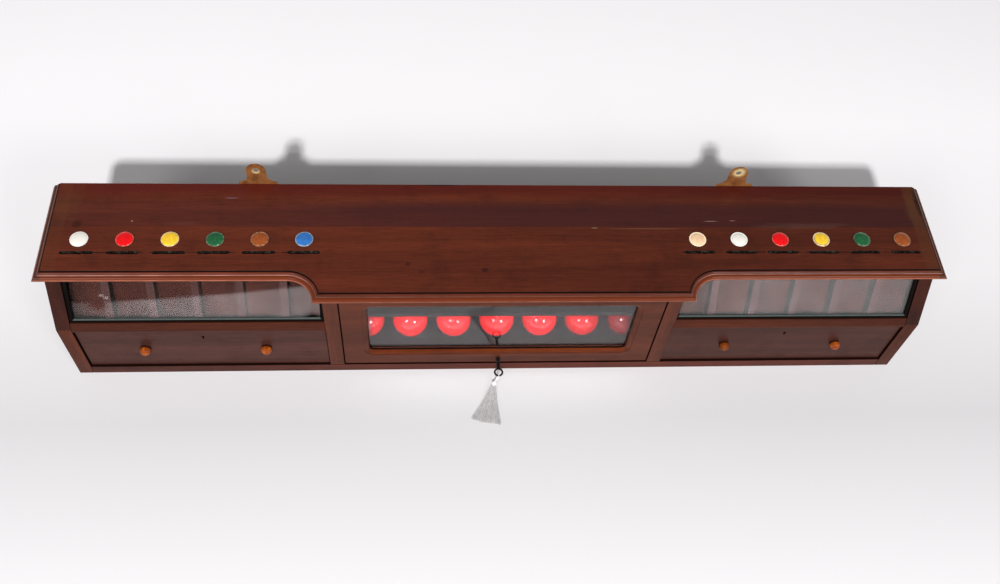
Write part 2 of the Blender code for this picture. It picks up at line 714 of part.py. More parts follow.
def make_top_board(material):
    """Top board with a moulded edge, coin slots, and recesses for the hinges below."""
    rows = [[(x, y, CASE_HEIGHT + rise) for x, y in top_outline(inset)]
            for inset, rise in moulding_profile()]
    recess = (CASE_HEIGHT - CUT_OVERRUN, CASE_HEIGHT + HINGE_LEAF_THICKNESS + SEAT_GAP)
    solid = cut(flat_backed(rows), gathered(slot_cutters()), gathered(hinge_recesses(recess)),
                gathered(knuckle_recesses()))
    piece("top_board", solid, material, (0, 0, CASE_HEIGHT))


def disc_solid():
    """Domed disc inside a low rim, standing on its own origin."""
    radius = DISC_DIAMETER / 2
    inner = radius - DISC_RIM_WIDTH
    profile = [(0, 0), (radius, 0), (radius, DISC_RIM_RISE), (inner, DISC_RIM_RISE)]
    for step in range(1, DISC_DOME_STEPS + 1):
        turn = math.pi / 2 * step / DISC_DOME_STEPS
        rise = DISC_RIM_RISE + (DISC_RISE - DISC_RIM_RISE) * math.sin(turn)
        profile.append((inner * math.cos(turn), rise))
    return turned(profile, DISC_SIDES)


def make_discs(finishes):
    """Coloured disc behind each slot."""
    for label, side in SIDES:
        for x, colour in zip(sorted(cell_centres(side)), DISC_COLOURS[label]):
            place = (x, slot_y() + DISC_SETBACK, TOP_Z + SEAT_GAP)
            piece(side_name(label, f"{colour}_disc"), placed(disc_solid(), place),
                  finishes[f"{colour}_disc"], place, smooth=True)


# Side windows and coin magazines

def bay_span(side, margin):
    """Span of a side bay less a margin at each end."""
    return span(side * BAY_X, BAY_WIDTH - 2 * margin)


def slope_board(x_span, up_span, inward_span):
    """Board parallel to the sloping front."""
    outline = [
        slope_point(up_span[0], inward_span[0]),
        slope_point(up_span[1], inward_span[0]),
        slope_point(up_span[1], inward_span[1]),
        slope_point(up_span[0], inward_span[1]),
    ]
    return extrusion(outline, "X", *x_span)


def make_rail(label, side, material):
    """Rail that closes the drawer opening and carries the window."""
    back_in = (RAIL_DEPTH - RAIL_FACE_RISE * math.sin(LEAN)) / math.cos(LEAN)
    outline = [
        (FRONT_Y, RAIL_BOTTOM_Z),
        (FRONT_Y, KINK_HEIGHT),
        slope_point(RAIL_FACE_RISE, 0),
        slope_point(RAIL_FACE_RISE, back_in),
        (RAIL_BACK_Y, RAIL_BOTTOM_Z),
    ]
    rail = extrusion(outline, "X", *bay_span(side, SEAT_GAP))
    reach = DRAWER_LOCK_TOP_Z + DRAWER_BOLT_TRAVEL + 2 * SEAT_GAP
    mortise = block(span(side * BAY_X, DRAWER_BOLT_WIDTH + 4 * SEAT_GAP),
                    span(DRAWER_BOLT_Y, DRAWER_BOLT_THICKNESS + 4 * SEAT_GAP),
                    (RAIL_BOTTOM_Z - CUT_OVERRUN, reach))
    piece(side_name(label, "rail"), cut(rail, mortise), material, (side * BAY_X, FRONT_Y, KINK_HEIGHT))


def make_side_glass(label, side, material):
    """Sloping pane in front of the coins."""
    ups = (RAIL_FACE_RISE + SEAT_GAP, slope_rise(GLASS_FRONT_IN, BOARD_TOP_Z))
    solid = slope_board(bay_span(side, SEAT_GAP), ups, (GLASS_FRONT_IN, GLASS_BACK_IN))
    piece(side_name(label, "glass"), solid, material, (side * BAY_X, FRONT_Y, KINK_HEIGHT))


def make_glazing_bead(label, side, material):
    """Black bead that holds the pane from the front."""
    depths = (BEAD_SETBACK, BEAD_SETBACK + BEAD_DEPTH)
    ups = (RAIL_FACE_RISE + SEAT_GAP, slope_rise(BEAD_SETBACK, BOARD_TOP_Z))
    frame = slope_board(bay_span(side, SEAT_GAP), ups, depths)
    sight = slope_board(bay_span(side, SEAT_GAP + BEAD_WIDTH), (ups[0] + BEAD_WIDTH, ups[1] - BEAD_WIDTH),
                        (depths[0] - CUT_OVERRUN, depths[1] + CUT_OVERRUN))
    piece(side_name(label, "glazing_bead"), cut(frame, sight), material,
          (side * BAY_X, FRONT_Y, KINK_HEIGHT))


def coin_back_board(side):
    """Sloping board that the coins lean on."""
    outline = [
        slope_at_height(COIN_BACK_FRONT_IN, COIN_BACK_FOOT_Z),
        slope_at_height(COIN_BACK_FRONT_IN, BOARD_TOP_Z),
        slope_at_height(COIN_BACK_REAR_IN, BOARD_TOP_Z),
        slope_at_height(COIN_BACK_REAR_IN, COIN_BACK_FOOT_Z),
    ]
    return extrusion(outline, "X", *bay_span(side, SEAT_GAP))


def divider_outline():
    """Side view of a divider, from the window to inside the board behind the coins."""
    rail_back = RAIL_BACK_Y + SEAT_GAP
    up = RAIL_FACE_RISE + SEAT_GAP
    rail_back_in = (rail_back - FRONT_Y - up * math.sin(LEAN)) / math.cos(LEAN)
    root_in = COIN_BACK_FRONT_IN + COIN_BACK_THICKNESS / 2
    return [
        slope_point(up, DIVIDER_FRONT_IN),
        slope_point(up, rail_back_in),
        (rail_back, COIN_BACK_FOOT_Z),
        slope_at_height(root_in, COIN_BACK_FOOT_Z),
        slope_at_height(root_in, BOARD_TOP_Z),
        slope_at_height(DIVIDER_FRONT_IN, BOARD_TOP_Z),
    ]


def make_coin_magazine(label, side, material):
    """Sloping board with the upright dividers that part the coin cells, open below."""
    centres = sorted(cell_centres(side))
    middles = [(here + there) / 2 for here, there in zip(centres, centres[1:])]
    dividers = [extrusion(divider_outline(), "X", *span(x, DIVIDER_THICKNESS)) for x in middles]
    piece(side_name(label, "coin_magazine"), fused(coin_back_board(side), gathered(dividers)), material,
          (side * BAY_X, FRONT_Y, KINK_HEIGHT))


# Drawers

def drawer_pocket(side):
    """Cutter that lets the lock into the drawer front from behind and above."""
    return block(span(side * BAY_X, DRAWER_LOCK_WIDTH + 2 * SEAT_GAP),
                 (DRAWER_LOCK_FRONT_Y - SEAT_GAP, DRAWER_FRONT_BACK_Y + CUT_OVERRUN),
                 (DRAWER_LOCK_TOP_Z - DRAWER_LOCK_HEIGHT - SEAT_GAP, DRAWER_FRONT_TOP_Z + CUT_OVERRUN))


def drawer_keyhole(side, y_low, y_high):
    """Cutter for the drawer's keyhole."""
    outline = keyhole_outline((side * BAY_X, DRAWER_KEYHOLE_Z), DRAWER_KEYHOLE_RADIUS,
                              DRAWER_KEYHOLE_SLOT_WIDTH, DRAWER_KEYHOLE_SLOT_DROP)
    return extrusion(outline, "Y", y_low, y_high)


def panel_block(side, margin):
    """Drawer bottom, or the groove for its front edge when grown by a margin."""
    half = DRAWER_HALF_WIDTH - DRAWER_WALL + DRAWER_GROOVE_DEPTH
    middle = side * BAY_X
    return block((middle - half - margin, middle + half + margin),
                 (DRAWER_FRONT_BACK_Y - DRAWER_GROOVE_DEPTH - margin,
                  DRAWER_BOX_BACK_Y - DRAWER_WALL + DRAWER_GROOVE_DEPTH + margin),
                 (DRAWER_FOOT_Z + DRAWER_PANEL_LIFT - margin,
                  DRAWER_FOOT_Z + DRAWER_PANEL_LIFT + DRAWER_PANEL_THICKNESS + margin))


def knob_places(side):
    """Places of the two knobs of a drawer, the inner one first."""
    middle = side * BAY_X
    return (("inner", middle - side * KNOB_SPREAD / 2), ("outer", middle + side * KNOB_SPREAD / 2))


def make_drawer_front(label, side, material, slide):
    """Drawer front, bored for the knobs, cut for the lock and grooved for the bottom."""
    middle = side * BAY_X
    front = block((middle - DRAWER_HALF_WIDTH, middle + DRAWER_HALF_WIDTH),
                  (DRAWER_FACE_Y, DRAWER_FRONT_BACK_Y), (DRAWER_FRONT_FOOT_Z, DRAWER_FRONT_TOP_Z))
    holes = [bore(x, DRAWER_MID_Z, KNOB_TENON_RADIUS + SEAT_GAP, KNOB_SIDES,
                  DRAWER_FACE_Y - CUT_OVERRUN, DRAWER_FACE_Y + KNOB_TENON_LENGTH + SEAT_GAP)
             for _, x in knob_places(side)]
    keyhole = drawer_keyhole(side, DRAWER_FACE_Y - CUT_OVERRUN, DRAWER_LOCK_FRONT_Y)
    solid = cut(front, drawer_pocket(side), keyhole, gathered(holes), panel_block(side, SEAT_GAP))
    piece(side_name(label, "drawer_front"), solid, material, (middle, DRAWER_FACE_Y, DRAWER_MID_Z), slide)


def make_drawer_box(label, side, material, slide):
    """Two sides, a back and the bottom, whose front edge is tongued into the drawer front."""
    middle = side * BAY_X
    outer = DRAWER_HALF_WIDTH
    inner = outer - DRAWER_WALL
    back = DRAWER_BOX_BACK_Y - DRAWER_WALL
    outline = [
        (middle - outer, DRAWER_BOX_FRONT_Y),
        (middle - inner, DRAWER_BOX_FRONT_Y),
        (middle - inner, back),
        (middle + inner, back),
        (middle + inner, DRAWER_BOX_FRONT_Y),
        (middle + outer, DRAWER_BOX_FRONT_Y),
        (middle + outer, DRAWER_BOX_BACK_Y),
        (middle - outer, DRAWER_BOX_BACK_Y),
    ]
    box = extrusion(outline, "Z", DRAWER_FOOT_Z, DRAWER_BOX_TOP_Z)
    piece(side_name(label, "drawer_box"), fused(box, panel_block(side, 0)), material,
          (middle, DRAWER_BOX_FRONT_Y, DRAWER_FOOT_Z), slide)


def knob_solid():
    """Turned knob on a tenon, its head standing along +Z."""
    head_rise = KNOB_PROJECTION - KNOB_RADIUS
    profile = [
        (0, -KNOB_TENON_LENGTH),
        (KNOB_TENON_RADIUS, -KNOB_TENON_LENGTH),
        (KNOB_TENON_RADIUS, SEAT_GAP),
        (KNOB_FOOT_RADIUS, SEAT_GAP),
        (KNOB_FOOT_RADIUS, head_rise / 4),
        (KNOB_NECK_RADIUS, head_rise / 2),
    ]
    start = math.acos(KNOB_NECK_RADIUS / KNOB_RADIUS)
    for step in range(KNOB_DOME_STEPS + 1):
        turn = -start / 2 + (math.pi / 2 + start / 2) * step / KNOB_DOME_STEPS
        profile.append((KNOB_RADIUS * math.cos(turn), head_rise + KNOB_RADIUS * math.sin(turn)))
    return turned(profile, KNOB_SIDES)


def make_knobs(label, side, material, slide):
    """Inner and outer knob of a drawer."""
    forwards = Matrix.Rotation(math.pi / 2, 4, "X")
    for which, x in knob_places(side):
        place = (x, DRAWER_FACE_Y, DRAWER_MID_Z)
        solid = placed(knob_solid(), place, forwards)
        piece(side_name(label, f"drawer_{which}_knob"), solid, material, place, slide, smooth=True)


def make_drawer_lock(label, side, material, slide):
    """Lock body with its key chamber and the channel that the bolt rises in."""
    middle = side * BAY_X
    body = block(span(middle, DRAWER_LOCK_WIDTH),
                 (DRAWER_LOCK_FRONT_Y, DRAWER_LOCK_FRONT_Y + DRAWER_LOCK_DEPTH),
                 (DRAWER_LOCK_TOP_Z - DRAWER_LOCK_HEIGHT, DRAWER_LOCK_TOP_Z))
    depth = DRAWER_BOLT_THICKNESS + 2 * SEAT_GAP
    channel_low, channel_high = span(DRAWER_BOLT_Y, depth)
    channel = block(span(middle, DRAWER_BOLT_WIDTH + 2 * SEAT_GAP), (channel_low, channel_high),
                    (DRAWER_LOCK_TOP_Z - DRAWER_BOLT_HEIGHT - SEAT_GAP, DRAWER_LOCK_TOP_Z + CUT_OVERRUN))
    chamber = bore(middle, DRAWER_KEYHOLE_Z, DRAWER_CHAMBER_RADIUS, KEY_SIDES, channel_low, channel_high)
    keyhole = drawer_keyhole(side, DRAWER_LOCK_FRONT_Y - CUT_OVERRUN, DRAWER_BOLT_Y)
    piece(side_name(label, "drawer_lock"), cut(body, channel, chamber, keyhole), material,
          (middle, DRAWER_LOCK_FRONT_Y, DRAWER_KEYHOLE_Z), slide)


def make_drawer_bolt(label, side, material, slide):
    """Flat bolt, drawn in."""
    place = (side * BAY_X, DRAWER_BOLT_Y, DRAWER_LOCK_TOP_Z)
    rise = pivot(side_name(label, "drawer_bolt_slide"), place, slide)
    solid = block(span(side * BAY_X, DRAWER_BOLT_WIDTH), span(DRAWER_BOLT_Y, DRAWER_BOLT_THICKNESS),
                  (DRAWER_LOCK_TOP_Z - DRAWER_BOLT_HEIGHT, DRAWER_LOCK_TOP_Z))
    piece(side_name(label, "drawer_bolt"), solid, material, place, rise)


def make_drawer(label, side, finishes):
    """One drawer with its knobs, lock and bolt."""
    slide = pivot(side_name(label, "drawer_slide"), (side * BAY_X, DRAWER_FACE_Y, DRAWER_FOOT_Z))
    make_drawer_front(label, side, finishes["drawer_wood"], slide)
    make_drawer_box(label, side, finishes["inner_wood"], slide)
    make_knobs(label, side, finishes["turned_wood"], slide)
    make_drawer_lock(label, side, finishes["lock_steel"], slide)
    make_drawer_bolt(label, side, finishes["lock_steel"], slide)


# Door

def opening_spans(inset):
    """Spans of the door's opening, drawn in from its edge on the front face."""
    half = DOOR_HALF_WIDTH - DOOR_STILE_WIDTH - inset
    low = DOOR_FOOT_Z + DOOR_BOTTOM_RAIL_HEIGHT + inset
    high = DOOR_TOP_Z - DOOR_TOP_RAIL_HEIGHT - inset
    return (-half, half), (low, high)


def opening_ring(inset, y):
    """Ring of the moulded opening at one depth."""
    x_span, z_span = opening_spans(inset)
    outline = rounded_rectangle(x_span, z_span, DOOR_CORNER_RADIUS - inset, DOOR_CORNER_STEPS)
    return [(x, y, z) for x, z in outline]


def opening_cutter():
    """Cutter of the opening: a quirk, an ovolo and the lip that covers the glass edge."""
    rings = [opening_ring(0, DOOR_FACE_Y - CUT_OVERRUN)]
    for step in range(DOOR_MOULDING_STEPS + 1):
        turn = math.pi / 2 * step / DOOR_MOULDING_STEPS
        inset = DOOR_MOULDING_WIDTH * math.sin(turn)
        depth = DOOR_QUIRK_DEPTH + DOOR_MOULDING_DEPTH * (1 - math.cos(turn))
        rings.append(opening_ring(inset, DOOR_FACE_Y + depth))
    rings.append(opening_ring(DOOR_MOULDING_WIDTH, DOOR_REBATE_Y + CUT_OVERRUN))
    return lofted(rings)


def rebate_block(margin, y_span):
    """Square space behind the opening, drawn in by a margin."""
    x_span, z_span = opening_spans(DOOR_MOULDING_WIDTH - DOOR_REBATE_WIDTH + margin)
    return block(x_span, y_span, z_span)


def door_lock_pocket():
    """Cutter that lets the lock into the bottom rail from behind."""
    return block(span(0, DOOR_LOCK_WIDTH + 2 * SEAT_GAP),
                 (DOOR_LOCK_FRONT_Y - SEAT_GAP, DOOR_BACK_Y + CUT_OVERRUN),
                 (DOOR_FOOT_Z - CUT_OVERRUN, DOOR_LOCK_FOOT_Z + DOOR_LOCK_HEIGHT + SEAT_GAP))


def door_keyhole(y_low, y_high):
    """Cutter for the door's keyhole."""
    outline = keyhole_outline((0, KEY_Z), DOOR_KEYHOLE_RADIUS, DOOR_KEYHOLE_SLOT_WIDTH,
                              DOOR_KEYHOLE_SLOT_DROP)
    return extrusion(outline, "Y", y_low, y_high)


def make_door_frame(material, swing):
    """Door frame with a moulded opening and a bead behind, cut for glass, lock and hinges."""
    door_width = span(0, 2 * DOOR_HALF_WIDTH)
    board = block(door_width, (DOOR_FACE_Y, DOOR_BACK_Y), (DOOR_FOOT_Z, DOOR_TOP_Z))
    bead_back_y = DOOR_BEAD_Y + DOOR_BEAD_DEPTH
    groove = rebate_block(0, (DOOR_REBATE_Y, DOOR_BEAD_Y))
    sight = rebate_block(DOOR_BEAD_WIDTH, (DOOR_REBATE_Y, bead_back_y + CUT_OVERRUN))
    recess = rebate_block(0, (bead_back_y, DOOR_BACK_Y + CUT_OVERRUN))
    leaf_seats = hinge_recesses((DOOR_TOP_Z - HINGE_LEAF_THICKNESS - SEAT_GAP, DOOR_TOP_Z + CUT_OVERRUN))
    solid = cut(board, opening_cutter(), groove, sight, recess, door_lock_pocket(),
                door_keyhole(DOOR_FACE_Y - CUT_OVERRUN, DOOR_LOCK_FRONT_Y), gathered(leaf_seats))
    piece("door_frame", solid, material, swing.place, swing)


def make_door_glass(material, swing):
    """Flat pane in the groove between the lip and the bead."""
    solid = rebate_block(SEAT_GAP, (DOOR_GLASS_Y, DOOR_GLASS_Y + DOOR_GLASS_THICKNESS))
    piece("door_glass", solid, material, swing.place, swing)


def knuckle_spans(x, first):
    """Spans of every other knuckle along a hinge."""
    pitch = HINGE_LENGTH / HINGE_KNUCKLES
    low = x - HINGE_LENGTH / 2
    return [(low + pitch * index + SEAT_GAP / 2, low + pitch * (index + 1) - SEAT_GAP / 2)
            for index in range(first, HINGE_KNUCKLES, 2)]


def hinge_half(x, first, z_span, bored):
    """Leaf with its knuckles, one half of a butt hinge."""
    leaf = block(span(x, HINGE_LENGTH), (HINGE_ROOT_Y, HINGE_LEAF_END_Y), z_span)
    round_outline = arc((HINGE_Y, HINGE_Z), KNUCKLE_RADIUS, 0, 360 - 360 / HINGE_SIDES, HINGE_SIDES - 1)
    parts = []
    for knuckle_span in knuckle_spans(x, first):
        barrel = extrusion(round_outline, "X", *knuckle_span)
        tongue = block(knuckle_span, (HINGE_Y, HINGE_ROOT_Y + SEAT_GAP), z_span)
        parts.append(fused(barrel, tongue))
    solid = fused(leaf, gathered(parts))
    pin_radius = PIN_RADIUS + SEAT_GAP if bored else PIN_RADIUS
    overrun = CUT_OVERRUN if bored else 0
    pin_outline = arc((HINGE_Y, HINGE_Z), pin_radius, 0, 360 - 360 / HINGE_SIDES, HINGE_SIDES - 1)
    pin = extrusion(pin_outline, "X", *span(x, HINGE_LENGTH - SEAT_GAP + 2 * overrun))
    return cut(solid, pin) if bored else fused(solid, pin)


def make_hinges(material, swing):
    """Fixed leaves with their pins in the top board, and moving leaves in the door's top edge."""
    case_z = (CASE_HEIGHT, CASE_HEIGHT + HINGE_LEAF_THICKNESS)
    door_z = (DOOR_TOP_Z - HINGE_LEAF_THICKNESS, DOOR_TOP_Z)
    for (label, _), x in zip(SIDES, hinge_places()):
        place = (x, HINGE_Y, HINGE_Z)
        piece(side_name(label, "hinge_case_leaf"), hinge_half(x, 0, case_z, False), material, place,
              smooth=True)
        piece(side_name(label, "hinge_door_leaf"), hinge_half(x, 1, door_z, True), material, place,
              swing, smooth=True)


def make_door_lock(material, swing):
    """Lock body with its key chamber and, behind it, the channel that the bolt drops in."""
    body = block(span(0, DOOR_LOCK_WIDTH), (DOOR_LOCK_FRONT_Y, DOOR_LOCK_FRONT_Y + DOOR_LOCK_DEPTH),
                 (DOOR_LOCK_FOOT_Z, DOOR_LOCK_FOOT_Z + DOOR_LOCK_HEIGHT))
    channel_low, channel_high = span(DOOR_BOLT_Y, DOOR_BOLT_THICKNESS + 2 * SEAT_GAP)
    channel = block(span(0, DOOR_BOLT_WIDTH + 2 * SEAT_GAP), (channel_low, channel_high),
                    (DOOR_LOCK_FOOT_Z - CUT_OVERRUN, DOOR_BOLT_FOOT_Z + DOOR_BOLT_HEIGHT + SEAT_GAP))
    chamber = bore(0, KEY_Z, DOOR_CHAMBER_RADIUS, KEY_SIDES, DOOR_CHAMBER_Y, channel_low + SEAT_GAP)
    keyhole = door_keyhole(DOOR_LOCK_FRONT_Y - CUT_OVERRUN, DOOR_CHAMBER_Y + SEAT_GAP)
    piece("door_lock", cut(body, channel, chamber, keyhole), material, (0, DOOR_LOCK_FRONT_Y, KEY_Z), swing)


def make_door_bolt(material, swing):
    """Flat bolt, drawn in."""
    place = (0, DOOR_BOLT_Y, DOOR_BOLT_FOOT_Z)
    drop = pivot("door_bolt_slide", place, swing)
    solid = block(span(0, DOOR_BOLT_WIDTH), span(DOOR_BOLT_Y, DOOR_BOLT_THICKNESS),
                  (DOOR_BOLT_FOOT_Z, DOOR_BOLT_FOOT_Z + DOOR_BOLT_HEIGHT))
    piece("door_bolt", solid, material, place, drop)


def key_shaft():
    """Turned shaft with its collar, along +Z from the bow to the tip."""
    collar_low = KEY_COLLAR_Y - KEY_COLLAR_WIDTH / 2
    collar_high = KEY_COLLAR_Y + KEY_COLLAR_WIDTH / 2
    bow_edge = KEY_BOW_Y + KEY_BOW_RADIUS
    profile = [
        (0, bow_edge),
        (KEY_SHAFT_RADIUS, bow_edge),
        (KEY_SHAFT_RADIUS, collar_low - KEY_COLLAR_WIDTH / 4),
        (KEY_COLLAR_RADIUS, collar_low),
        (KEY_COLLAR_RADIUS, collar_high),
        (KEY_SHAFT_RADIUS, collar_high + KEY_COLLAR_WIDTH / 4),
        (KEY_SHAFT_RADIUS, KEY_TIP_Y),
        (0, KEY_TIP_Y),
    ]
    backwards = Matrix.Rotation(-math.pi / 2, 4, "X")
    return placed(turned(profile, KEY_SIDES), (0, 0, KEY_Z), backwards)


def key_bow():
    """Ring of the key, lying flat."""
    profile = arc((KEY_BOW_RADIUS, 0), KEY_BOW_BAR_RADIUS, 0, 360 - 360 / KEY_BAR_SIDES, KEY_BAR_SIDES - 1)
    return placed(turned(profile, KEY_SIDES, ring=True), (0, KEY_BOW_Y, KEY_Z))


def make_key(material, turn):
    """Key that stays in the door's lock."""
    bit = block((0, KEY_BIT_REACH), (KEY_BIT_FRONT_Y, KEY_TIP_Y - SEAT_GAP), span(KEY_Z, KEY_BIT_THICKNESS))
    piece("key", fused(key_shaft(), bit, key_bow()), material, turn.place, turn, smooth=True)


# Tassel

def tassel_head_place():
    """Middle of the tassel's head, just above the floor."""
    height = TASSEL_FLOOR_GAP + TASSEL_HEAD_LIFT_SHARE * TASSEL_HEAD_RADIUS
    return Vector((-TASSEL_HEAD_SHIFT, TASSEL_BAR_Y, height))


def loop_path():
    """Cord from the head, over the outer bar of the bow, and down through the bow's hole."""
    reach = KEY_BOW_BAR_RADIUS + SEAT_GAP + LOOP_CORD_RADIUS
    over = [Vector((0, y, z)) for y, z in arc((TASSEL_BAR_Y, KEY_Z), reach, 180, 0, LOOP_ARC_STEPS)]
    head = tassel_head_place()
    return [head + Vector((0, -LOOP_CORD_RADIUS, 0)), *over, head + Vector((0, LOOP_CORD_RADIUS, 0))]


def tassel_skirt():
    """Skirt of threads, fanned out along the floor."""
    head = tassel_head_place()
    yaw = math.radians(TASSEL_SKIRT_YAW_DEG)
    along = Vector((-math.sin(yaw), -math.cos(yaw), 0))
    across = Vector((math.cos(yaw), -math.sin(yaw), 0))
    rings = []
    for step in range(TASSEL_SKIRT_STEPS + 1):
        share = step / TASSEL_SKIRT_STEPS
        flare = TASSEL_SKIRT_END_HALF_WIDTH - TASSEL_SKIRT_ROOT_HALF_WIDTH
        width = TASSEL_SKIRT_ROOT_HALF_WIDTH + flare * share ** TASSEL_SKIRT_FLARE_SHARE
        depth = TASSEL_SKIRT_ROOT_HALF_DEPTH
        depth += (TASSEL_SKIRT_END_HALF_DEPTH - TASSEL_SKIRT_ROOT_HALF_DEPTH) * share
        rest = TASSEL_FLOOR_GAP + depth
        drop = (head.z - rest) * (1 - share) ** 3
        middle = Vector((head.x, head.y, rest + drop)) + along * TASSEL_SKIRT_LENGTH * share
        turns = [math.tau * index / TASSEL_SKIRT_SIDES for index in range(TASSEL_SKIRT_SIDES)]
        rings.append([middle + across * width * math.cos(turn) + Vector((0, 0, depth * math.sin(turn)))
                      for turn in turns])
    return lofted(rings)


def make_tassel(material, swing):
    """Tassel that hangs on the key's bow."""
    profile = arc((0, 0), TASSEL_HEAD_RADIUS, -90, 90, KEY_BAR_SIDES)
    head = placed(turned(profile, KEY_SIDES), tassel_head_place())
    loop = swept_tube(loop_path(), LOOP_CORD_RADIUS, LOOP_SIDES)
    piece("tassel", fused(head, loop, tassel_skirt()), material, swing.place, swing, smooth=True)


def make_door(finishes):
    """Glazed door with its hinges, lock, key and tassel."""
    swing = pivot("door_hinge", (0, HINGE_Y, HINGE_Z))
    make_door_frame(finishes["door_wood"], swing)
    make_door_glass(finishes["door_glass"], swing)
    make_hinges(finishes["hinge_brass"], swing)
    make_door_lock(finishes["lock_steel"], swing)
    make_door_bolt(finishes["lock_steel"], swing)
    turn = pivot("key_turn", (0, DOOR_FACE_Y, KEY_Z), swing)
    make_key(finishes["black_iron"], turn)
    sway = pivot("tassel_swing", (0, TASSEL_BAR_Y, KEY_Z), turn)
    make_tassel(finishes["tassel_silk"], sway)


# Behind the door

def ball_centres():
    """Middles of the balls across the centre bay."""
    middle = (BALL_COUNT - 1) / 2
    return [(index - middle) * BALL_PITCH for index in range(BALL_COUNT)]


def make_shelf(material):
    """Shelf over the balls, which also stops the door."""
    inner = PARTITION_INNER_X - SEAT_GAP
    solid = block((-inner, inner), (SHELF_FRONT_Y, BACK_BOARD_FRONT_Y - SEAT_GAP),
                  (SHELF_HEIGHT, SHELF_HEIGHT + SHELF_THICKNESS))
    piece("ball_shelf", solid, material, (0, SHELF_FRONT_Y, SHELF_HEIGHT))


def make_rack(material):
    """Rack board with a round seat for each ball."""
    inner = PARTITION_INNER_X - SEAT_GAP
    board = block((-inner, inner), span(BALL_Y, RACK_DEPTH), (BOTTOM_THICKNESS + SEAT_GAP, RACK_TOP_Z))
    radius = BALL_HOLE_DIAMETER / 2
    holes = [extrusion(arc((x, BALL_Y), radius, 0, 360 - 360 / BALL_HOLE_SIDES, BALL_HOLE_SIDES - 1),
                       "Z", BOTTOM_THICKNESS, RACK_TOP_Z + CUT_OVERRUN)
             for x in ball_centres()]
    piece("ball_rack", cut(board, gathered(holes)), material, (0, BALL_Y, BOTTOM_THICKNESS))


def make_balls(material):
    """Red balls, each on its own seat."""
    for number, x in enumerate(ball_centres(), start=1):
        solid = bmesh.new()
        bmesh.ops.create_uvsphere(solid, u_segments=BALL_SEGMENTS, v_segments=BALL_RINGS,
                                  radius=BALL_RADIUS)
        place = (x, BALL_Y, BALL_Z)
        piece(f"red_ball_{number}", placed(solid, place), material, place, smooth=True)


# Hanging plates

def plate_outline(x):
    """Plate with a shouldered body that flares into a round tab."""
    shoulder = PLATE_SHOULDER_Z + PLATE_FLARE_RADIUS
    flare = arc((PLATE_BODY_HALF_WIDTH, shoulder), PLATE_FLARE_RADIUS, 270, 180, PLATE_ARC_STEPS)
    tab = arc((0, PLATE_EYE_Z), PLATE_TAB_RADIUS, 0, 180, 2 * PLATE_ARC_STEPS)
    right = [(PLATE_BODY_HALF_WIDTH, PLATE_FOOT_Z), *flare]
    left = [(-out, z) for out, z in reversed(right)]
    return [(x + out, z) for out, z in (*right, *tab, *left)]


def make_plate(label, side, material):
    """Hanging plate on the back, with an eye above the top board."""
    x = side * PLATE_SPREAD / 2
    plate = extrusion(plate_outline(x), "Y", PLATE_FRONT_Y, PLATE_BACK_Y)
    past = (PLATE_FRONT_Y - CUT_OVERRUN, PLATE_BACK_Y + CUT_OVERRUN)
    eye = bore(x, PLATE_EYE_Z, PLATE_HOLE_RADIUS, KEY_SIDES, *past)
    sink_profile = [
        (0, -PLATE_COUNTERSINK_DEPTH),
        (PLATE_HOLE_RADIUS, -PLATE_COUNTERSINK_DEPTH),
        (PLATE_COUNTERSINK_RADIUS, 0),
        (PLATE_COUNTERSINK_RADIUS, CUT_OVERRUN),
        (0, CUT_OVERRUN),
    ]
    forwards = Matrix.Rotation(math.pi / 2, 4, "X")
    sink = placed(turned(sink_profile, KEY_SIDES), (x, PLATE_FRONT_Y, PLATE_EYE_Z), forwards)
    holes = [bore(x + offset, SCREW_Z, SCREW_HOLE_RADIUS, SCREW_HOLE_SIDES, *past)
             for offset in span(0, SCREW_SPREAD)]
    piece(side_name(label, "hanging_plate"), cut(plate, eye, sink, gathered(holes)), material,
          (x, PLATE_FRONT_Y, PLATE_EYE_Z))


def clear_scene():
    """Remove whatever the scene holds."""
    for old in list(bpy.data.objects):
        bpy.data.objects.remove(old)


def main():
    """Build the scoreboard."""
    clear_scene()
    finishes = make_finishes()
    make_top_board(finishes["polished_top"])
    make_discs(finishes)
    make_bottom_board(finishes["case_wood"])
    make_back_board(finishes["back_wood"])
    for label, side in SIDES:
        make_side(label, side, finishes["case_wood"])
        make_partition(label, side, finishes["case_wood"])
        make_rail(label, side, finishes["case_wood"])
        make_side_glass(label, side, finishes["window_glass"])
        make_glazing_bead(label, side, finishes["black_bead"])
        make_coin_magazine(label, side, finishes["inner_wood"])
        make_drawer(label, side, finishes)
        make_plate(label, side, finishes["dark_brass"])
    make_shelf(finishes["dark_shelf"])
    make_rack(finishes["dark_shelf"])
    make_balls(finishes["red_ball"])
    make_door(finishes)


main()
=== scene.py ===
"""Looks of the billiard scoreboard: its woods, glass, brass, enamel and silk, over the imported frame."""
import json
import logging
import math
import random
from contextlib import contextmanager
from dataclasses import dataclass
from enum import Enum
from typing import Callable, Iterator, Sequence, Union

import bmesh
import bpy
from mathutils import Matrix, Vector


